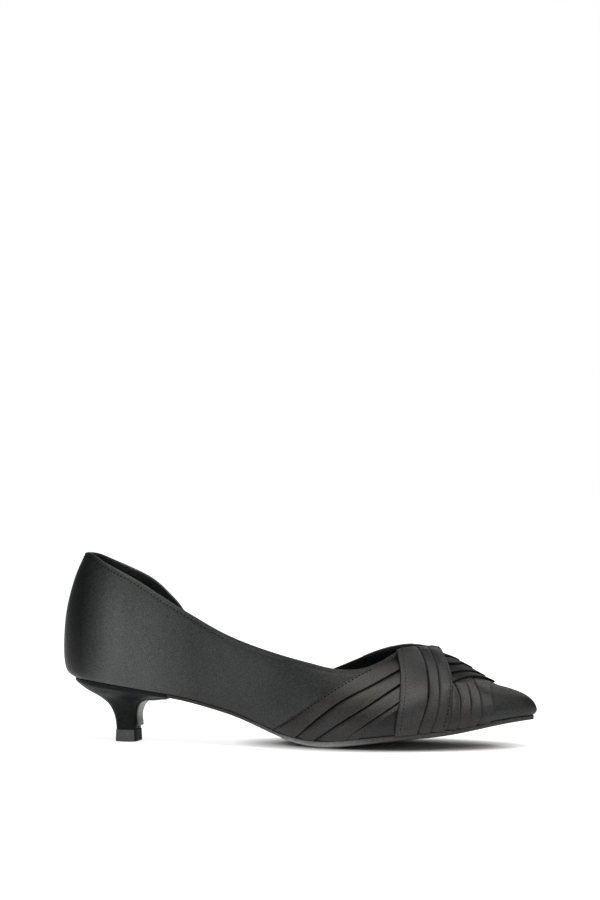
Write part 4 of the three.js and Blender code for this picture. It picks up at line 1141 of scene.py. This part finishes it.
# %% The sock: a thin pad with a soft seat
SMALL_STEP = 0.01
SOCK_INSET = WALL / 2
SEAT_RISE, SEAT_X, SEAT_REACH = 0.7, -92, 26


def inside_feather(side, t, inset):
    """The feather line of one side, moved inward on the level."""
    past = t + SMALL_STEP > LAST_SECTION
    before = last_point(t - SMALL_STEP, side)
    ahead = np.where(past, 2 * LAST_SECTION - t - SMALL_STEP, t + SMALL_STEP)
    after = last_point(ahead, np.where(past, -side, side))
    along, point = unit((after - before) * np.array([1, 1, 0])), last_point(t, side)
    inward = side * inset
    return np.stack([point[..., 0] + along[..., 1] * inward, point[..., 1] - along[..., 0] * inward], -1)


sock_t = np.concatenate([
    np.linspace(-1, 0, 40)[:-1], np.linspace(0, TOE_SECTION, 170),
    np.linspace(TOE_SECTION, LAST_SECTION, 50)[1:],
])
outer_line, inner_line = (inside_feather(side, sock_t, SOCK_INSET)[:, None] for side in (-1, 1))
share = np.linspace(0, 1, 25)[None, :, None]
sock_plan = outer_line + (inner_line - outer_line) * share
sock_low = sole_top(sock_plan[..., 0], sock_plan[..., 1]) + CLEARANCE
nearer = np.minimum(share[..., 0], 1 - share[..., 0])
from_edge = nearer * np.linalg.norm(inner_line - outer_line, axis=-1)
pillow = 0.55 + 0.45 * smooth_step(from_edge, 0.0, 3.0)
seat = SEAT_RISE * np.exp(-(((sock_plan[..., 0] - SEAT_X) / SEAT_REACH) ** 2)) * smooth_step(from_edge, 2, 12)
sock_high = sock_low + INSOLE_THICKNESS * pillow + seat
sock_rings = np.concatenate([
    np.concatenate([sock_plan, sock_high[..., None]], -1),
    np.concatenate([sock_plan, sock_low[..., None]], -1)[:, ::-1]], 1)
sock = ribbed_solid("sock_pad", sock_rings, sharp=80)
dress(sock, sock_leather)
settle(sock, "sock", "insole")

# %% [markdown]
# ## Heel
#
# The heel is one moulded block: wide under the seat, where it takes the outline of the upper, and drawn
# down into a slim column with a flat breast. Rings from the seat to the foot describe it. Each ring moves
# from the outline of the seat to a squared oval as it goes down. A narrow bevel keeps the corners crisp
# but not razor sharp, so that they catch a line of light.

# %% Rings of the heel
HEEL = table("back back_up front front_up half shaped", [
    (0.121, 1.0, 1.0, 0.776, 0.348, 0), (0.126, 0.963, 0.99, 0.75, 0.34, 0),
    (0.157, 0.912, 0.945, 0.738, 0.31, 0.1), (0.219, 0.829, 0.878, 0.714, 0.264, 0.28),
    (0.286, 0.762, 0.812, 0.701, 0.22, 0.48), (0.352, 0.691, 0.75, 0.673, 0.175, 0.68),
    (0.412, 0.601, 0.704, 0.604, 0.137, 0.84), (0.45, 0.497, 0.68, 0.503, 0.113, 0.94),
    (0.475, 0.365, 0.67, 0.367, 0.099, 1), (0.486, 0.201, 0.672, 0.201, 0.092, 1),
])
HEEL_TURN, TIP_HEIGHT = np.radians(8), 6.8
COLUMN_WRAP, COLUMN_SQUARE = 0.85, 0.65
LAST_RING = len(HEEL["back"]) - 1
heel_row = {name: curve(range(LAST_RING + 1), rows) for name, rows in HEEL.items()}
heel_station = station_at(HEEL_END)
heel_height = sole_top(-HALF_LENGTH, 0.0)
seat_front = last_point(heel_station, -1)[0]
seat_back = last_point(-1, -1)[0]


def rounded_cosine(angle):
    return np.sign(np.cos(angle)) * np.abs(np.cos(angle)) ** COLUMN_SQUARE


def heel_point(level, turn):
    """level runs from 0 at the seat down to the foot; turn from -1 at the outer breast corner around the
    back at 0 to the inner breast corner at 1."""
    level, turn = np.broadcast_arrays(np.asarray(level, float), np.asarray(turn, float))
    seat = last_point(-1 + np.abs(turn) * (heel_station + 1), np.where(turn < 0, -1.0, 1.0))
    row = {name: value(level) for name, value in heel_row.items()}
    squared = np.pi * np.abs(turn) * COLUMN_WRAP
    front_share = (1 - rounded_cosine(squared)) / (1 - rounded_cosine(np.pi * COLUMN_WRAP))
    seat_share = (seat[..., 0] - seat_back) / (seat_front - seat_back)
    along = seat_share * (1 - row["shaped"]) + front_share * row["shaped"]
    seat_wide = seat[..., 1] / (BALL_WIDTH * HEEL["half"][0])
    column_wide = np.sign(turn) * np.sin(squared) ** COLUMN_SQUARE
    wide = seat_wide * (1 - row["shaped"]) + column_wide * row["shaped"]
    back = -HALF_LENGTH + HEEL_LENGTH * row["back"]
    front = -HALF_LENGTH + HEEL_LENGTH * row["front"]
    low = heel_height * row["back_up"]
    x = back + (front - back) * along
    y = BALL_WIDTH * row["half"] * wide
    z = low + (heel_height * row["front_up"] - low) * along
    z = np.where(level == 0, sole_top(x, y), z)
    angle = -HEEL_TURN * row["shaped"]
    middle = (back + front) / 2
    dx = x - middle
    return np.stack([
        middle + dx * np.cos(angle) - y * np.sin(angle), dx * np.sin(angle) + y * np.cos(angle), z], -1)


# %% The heel block, with softened corners
def bevelled(piece, width, steps=2, angle=38):
    """Rounds every corner that is sharper than the angle; width in millimetres."""
    bevel = piece.modifiers.new("worn_edges", "BEVEL")
    bevel.width = width * MM
    bevel.segments = steps
    bevel.limit_method = "ANGLE"
    bevel.angle_limit = np.radians(angle)
    bevel.harden_normals = False
    return piece


HEEL_BEVEL, TIP_BEVEL, COVER_BEVEL = 0.28, 0.35, 0.2
heel_levels = np.linspace(0, LAST_RING, 70)
around = np.linspace(-1, 1, 113)
heel_rings = heel_point(heel_levels[:, None], around[None])
breast = np.linspace(0, 1, 10)[1:-1, None]
breast_rows = heel_rings[:, -1:, :] + (heel_rings[:, :1] - heel_rings[:, -1:]) * breast[None]
heel = ribbed_solid("heel_block", np.concatenate([heel_rings, breast_rows], 1), sharp=40)
dress(heel, heel_paint)
settle(bevelled(heel, HEEL_BEVEL), "heel", "heel")

# %% [markdown]
# ## Top lift
#
# Under the column sits a small squarish lift of harder rubber, the piece that a cobbler replaces. It is
# a hair wider than the column and spreads a little toward the floor. Its faces are told apart by the
# way they look, so that the one toward the arch can carry the moulded ridges and a darker colour, a
# painted shade.

# %% The top lift
TIP_RIM, TIP_FLARE, BREAST_TURN = 0.3, 0.3, 0.6
foot = np.concatenate([heel_point(LAST_RING, around), breast_rows[-1]])
out = unit((foot - foot.mean(0)) * np.array([1, 1, 0]))
tip_rings = []
for share in (0, 0.5, 1):
    ring = foot + out * (TIP_RIM + TIP_FLARE * share)
    ring[:, 2] = TIP_HEIGHT * (1 - share)
    tip_rings.append(ring)
onward = unit(np.roll(foot, -1, axis=0) - foot)
breast_side = np.broadcast_to(onward[:, 1] < -BREAST_TURN, (2, len(foot)))
tip = ribbed_solid("top_lift", np.array(tip_rings), sharp=35, paint=breast_side)
dress(tip, tip_rubber, tip_breast_ridges_and_shade)
settle(bevelled(tip, TIP_BEVEL, 3), "tip", "heel_tip")

# %% [markdown]
# ## Breast cover
#
# A strip of the sole's own skin runs down the front of the heel. It follows the block at a small
# distance, swells in its middle and lifts a little where it ends above the lift, as glued strips do.

# %% The cover on the breast
COVER_THICKNESS, COVER_SHARE, COVER_COLUMNS = 0.9, 0.92, 13
COVER_FROM, COVER_END = 1.2, 0.25
COVER_FLARE, FLARE_FROM, FLARE_TO = 0.8, 7.4, 8.75
LEVEL_STEP = 0.2
cover_levels = np.linspace(COVER_FROM, LAST_RING - COVER_END, 60)[:, None]
lateral_edge, medial_edge = heel_point(cover_levels, -1.0), heel_point(cover_levels, 1.0)
across_cover = 0.5 + np.linspace(-1, 1, COVER_COLUMNS)[None, :, None] * COVER_SHARE / 2
cover_base = lateral_edge + (medial_edge - lateral_edge) * across_cover
above, below = (
    heel_point(cover_levels + step, -1.0) + heel_point(cover_levels + step, 1.0)
    for step in (-LEVEL_STEP, LEVEL_STEP))
cover_out = unit(np.cross(below - above, medial_edge - lateral_edge))
flare = CLEARANCE + COVER_FLARE * smooth_step(cover_levels, FLARE_FROM, FLARE_TO)[..., None]
swell = 0.85 + 0.15 * np.sin(np.pi * np.linspace(0, 1, COVER_COLUMNS))
cover_face = cover_base + cover_out * (flare + COVER_THICKNESS * swell[None, :, None])
cover_rings = np.concatenate([cover_face, (cover_base + cover_out * flare)[:, ::-1]], 1)
cover = ribbed_solid("breast_cover_strip", cover_rings, sharp=45)
dress(cover, cover_skin)
settle(bevelled(cover, COVER_BEVEL), "sole", "breast_cover")

# %% [markdown]
# ## Floor
#
# The shoe stands on white paper. Lit by lamps alone, the paper would come out grey or the satin too
# pale, so the paper glows by itself a little. Under the ball of the shoe the glow is taken away in a soft
# oval, a painted contact shadow that the lamps' own shadow deepens; further out the glow rises until the
# floor meets the white room without a line.

# %% Floor
FLOOR_GLOW = 0.8
SHADE_PLACE, SHADE_SIZE, SHADE_EDGE = (0.05, 0.006, 0), (0.07, 0.032), (0.8, 1.25)
FULL_WHITE = (0.3, 1.6)
FLOOR_SIZE, FLOOR_DROP = 16, 0.0002
floor_paper = Finish("floor_paper", Roughness=0.9, Specular_IOR_Level=0.1)
floor_paper.shader.inputs["Emission Color"].default_value = (1, 1, 1, 1)
fibre = floor_paper.noise(floor_paper.body(), 40.0, 2.0)
floor_paper.colour(floor_paper.tint(fibre, (0.3, grey(0.84)), (0.7, grey(0.86))))
away = floor_paper.vector("LENGTH", floor_paper.body(), output="Value")
# A painted contact shadow: the glow falls to nothing in a soft oval under the ball.
offset = floor_paper.vector("SUBTRACT", floor_paper.body(), SHADE_PLACE)
offset = floor_paper.vector("MULTIPLY", offset, (1 / SHADE_SIZE[0], 1 / SHADE_SIZE[1], 0))
glow_round_painted_shadow = floor_paper.spread(floor_paper.vector("LENGTH", offset, output="Value"), 0.0, FLOOR_GLOW, *SHADE_EDGE)
far = floor_paper.spread(away, 0.0, 1 - FLOOR_GLOW, *FULL_WHITE)
glow = floor_paper.node("Math", {0: glow_round_painted_shadow, 1: far}, operation="ADD").outputs["Value"]
floor_paper.links.new(glow, floor_paper.shader.inputs["Emission Strength"])
bpy.ops.mesh.primitive_plane_add(size=FLOOR_SIZE, location=(0, 0, -FLOOR_DROP))
floor = bpy.context.object
floor.name = "floor"
dress(floor, floor_paper)
print("floor glows by", FLOOR_GLOW, "and not at all under the ball")

# %% [markdown]
# ## Light
#
# Black satin shows only what it mirrors, so the light is all in large soft boxes and each one draws one
# broad highlight: one above, one behind for the back's rim, and four small ones, each set to the strength
# that the cloth asked for. The room is white to look at but dim to light with, since a bright room would
# fill every fold.

# %% Soft boxes: place, aim, size in metres, watts and colour
BOXES = {
    "overhead_key": ((0.05, -0.45, 1.15), (0.02, 0, 0.03), (0.9, 0.5), 6.4, (1.0, 0.97, 0.92)),
    "front_right": ((0.5, -1.15, 0.35), (-0.05, 0, 0.06), (0.5, 0.4), 1.0, (1.0, 0.99, 0.98)),
    "right_high": ((0.65, -0.85, 0.85), (0.05, 0, 0.03), (0.35, 0.35), 4.2, (1.0, 0.97, 0.93)),
    "behind": ((0.0, 1.1, 0.9), (0, 0, 0.03), (1.8, 0.7), 4.2, (1.0, 0.99, 0.96)),
    "toe_top": ((0.7, 0.35, 1.3), (0.1, 0, 0.03), (0.35, 0.35), 3.2, (1.0, 1.0, 0.94)),
    "left_front": ((-0.4, -0.95, 0.2), (-0.1, 0, 0.06), (0.4, 0.4), 1.8, (0.97, 1.0, 1.0)),
}


def soft_box(name, place, aim, size, power, colour):
    light = bpy.data.lights.new(name, "AREA")
    light.shape = "RECTANGLE"
    light.size, light.size_y = size
    light.energy = power
    light.color = colour
    lamp = bpy.data.objects.new(name, light)
    lamp.location = place
    lamp.rotation_euler = (Vector(aim) - Vector(place)).to_track_quat("-Z", "Y").to_euler()
    bpy.context.scene.collection.objects.link(lamp)


for name, box in BOXES.items():
    soft_box(name, *box)
print("soft boxes:", len(BOXES), "with", round(sum(box[3] for box in BOXES.values()), 1), "watts")

# %% The room: white to look at, dim to light with
ROOM_COLOUR, ROOM_STRENGTH = (0.92, 0.96, 1.0, 1), 0.03
world = bpy.data.worlds.new("studio")
world.use_nodes = True
room = world.node_tree
dim, white = room.nodes["Background"], room.nodes.new("ShaderNodeBackground")
for background, colour, strength in ((dim, ROOM_COLOUR, ROOM_STRENGTH), (white, (1, 1, 1, 1), 1.0)):
    background.inputs["Color"].default_value = colour
    background.inputs["Strength"].default_value = strength
ray = room.nodes.new("ShaderNodeLightPath")
mix = room.nodes.new("ShaderNodeMixShader")
room.links.new(ray.outputs["Is Camera Ray"], mix.inputs["Fac"])
room.links.new(dim.outputs["Background"], mix.inputs[1])
room.links.new(white.outputs["Background"], mix.inputs[2])
room.links.new(mix.outputs["Shader"], room.nodes["World Output"].inputs["Surface"])
bpy.context.scene.world = world
bpy.context.scene.view_settings.view_transform = "Standard"

# %% [markdown]
# ## Camera
#
# The camera is level, eight degrees to the front of the shoe's outer side, with a long lens from well
# back, as in a shop picture. Its height and distance come from the photo: with the picture upright, 600
# by 900, the far top line and the far side of the tip show by just as much.

# %% Camera
AZIMUTH, DISTANCE, EYE_HEIGHT, AIM_X = np.radians(8), 1375.0, 162.4, 1.7
FOCAL_PIXELS, PICTURE_HEIGHT, SENSOR = 2481.0, 900, 36
aim = np.array([AIM_X * np.cos(AZIMUTH), AIM_X * np.sin(AZIMUTH), EYE_HEIGHT])
look = np.array([-np.sin(AZIMUTH), np.cos(AZIMUTH), 0])
camera_data = bpy.data.cameras.new("camera")
camera_data.sensor_width = SENSOR
camera_data.lens = FOCAL_PIXELS * SENSOR / PICTURE_HEIGHT
camera_data.clip_start, camera_data.clip_end = 0.05, 50
camera = bpy.data.objects.new("camera", camera_data)
camera.location = Vector((aim - look * DISTANCE + SHIFT) * MM)
camera.rotation_euler = Vector(look).to_track_quat("-Z", "Y").to_euler()
bpy.context.scene.collection.objects.link(camera)
bpy.context.scene.camera = camera
print("camera at", [round(v, 4) for v in camera.location], "with a lens of", round(camera_data.lens, 1), "mm")
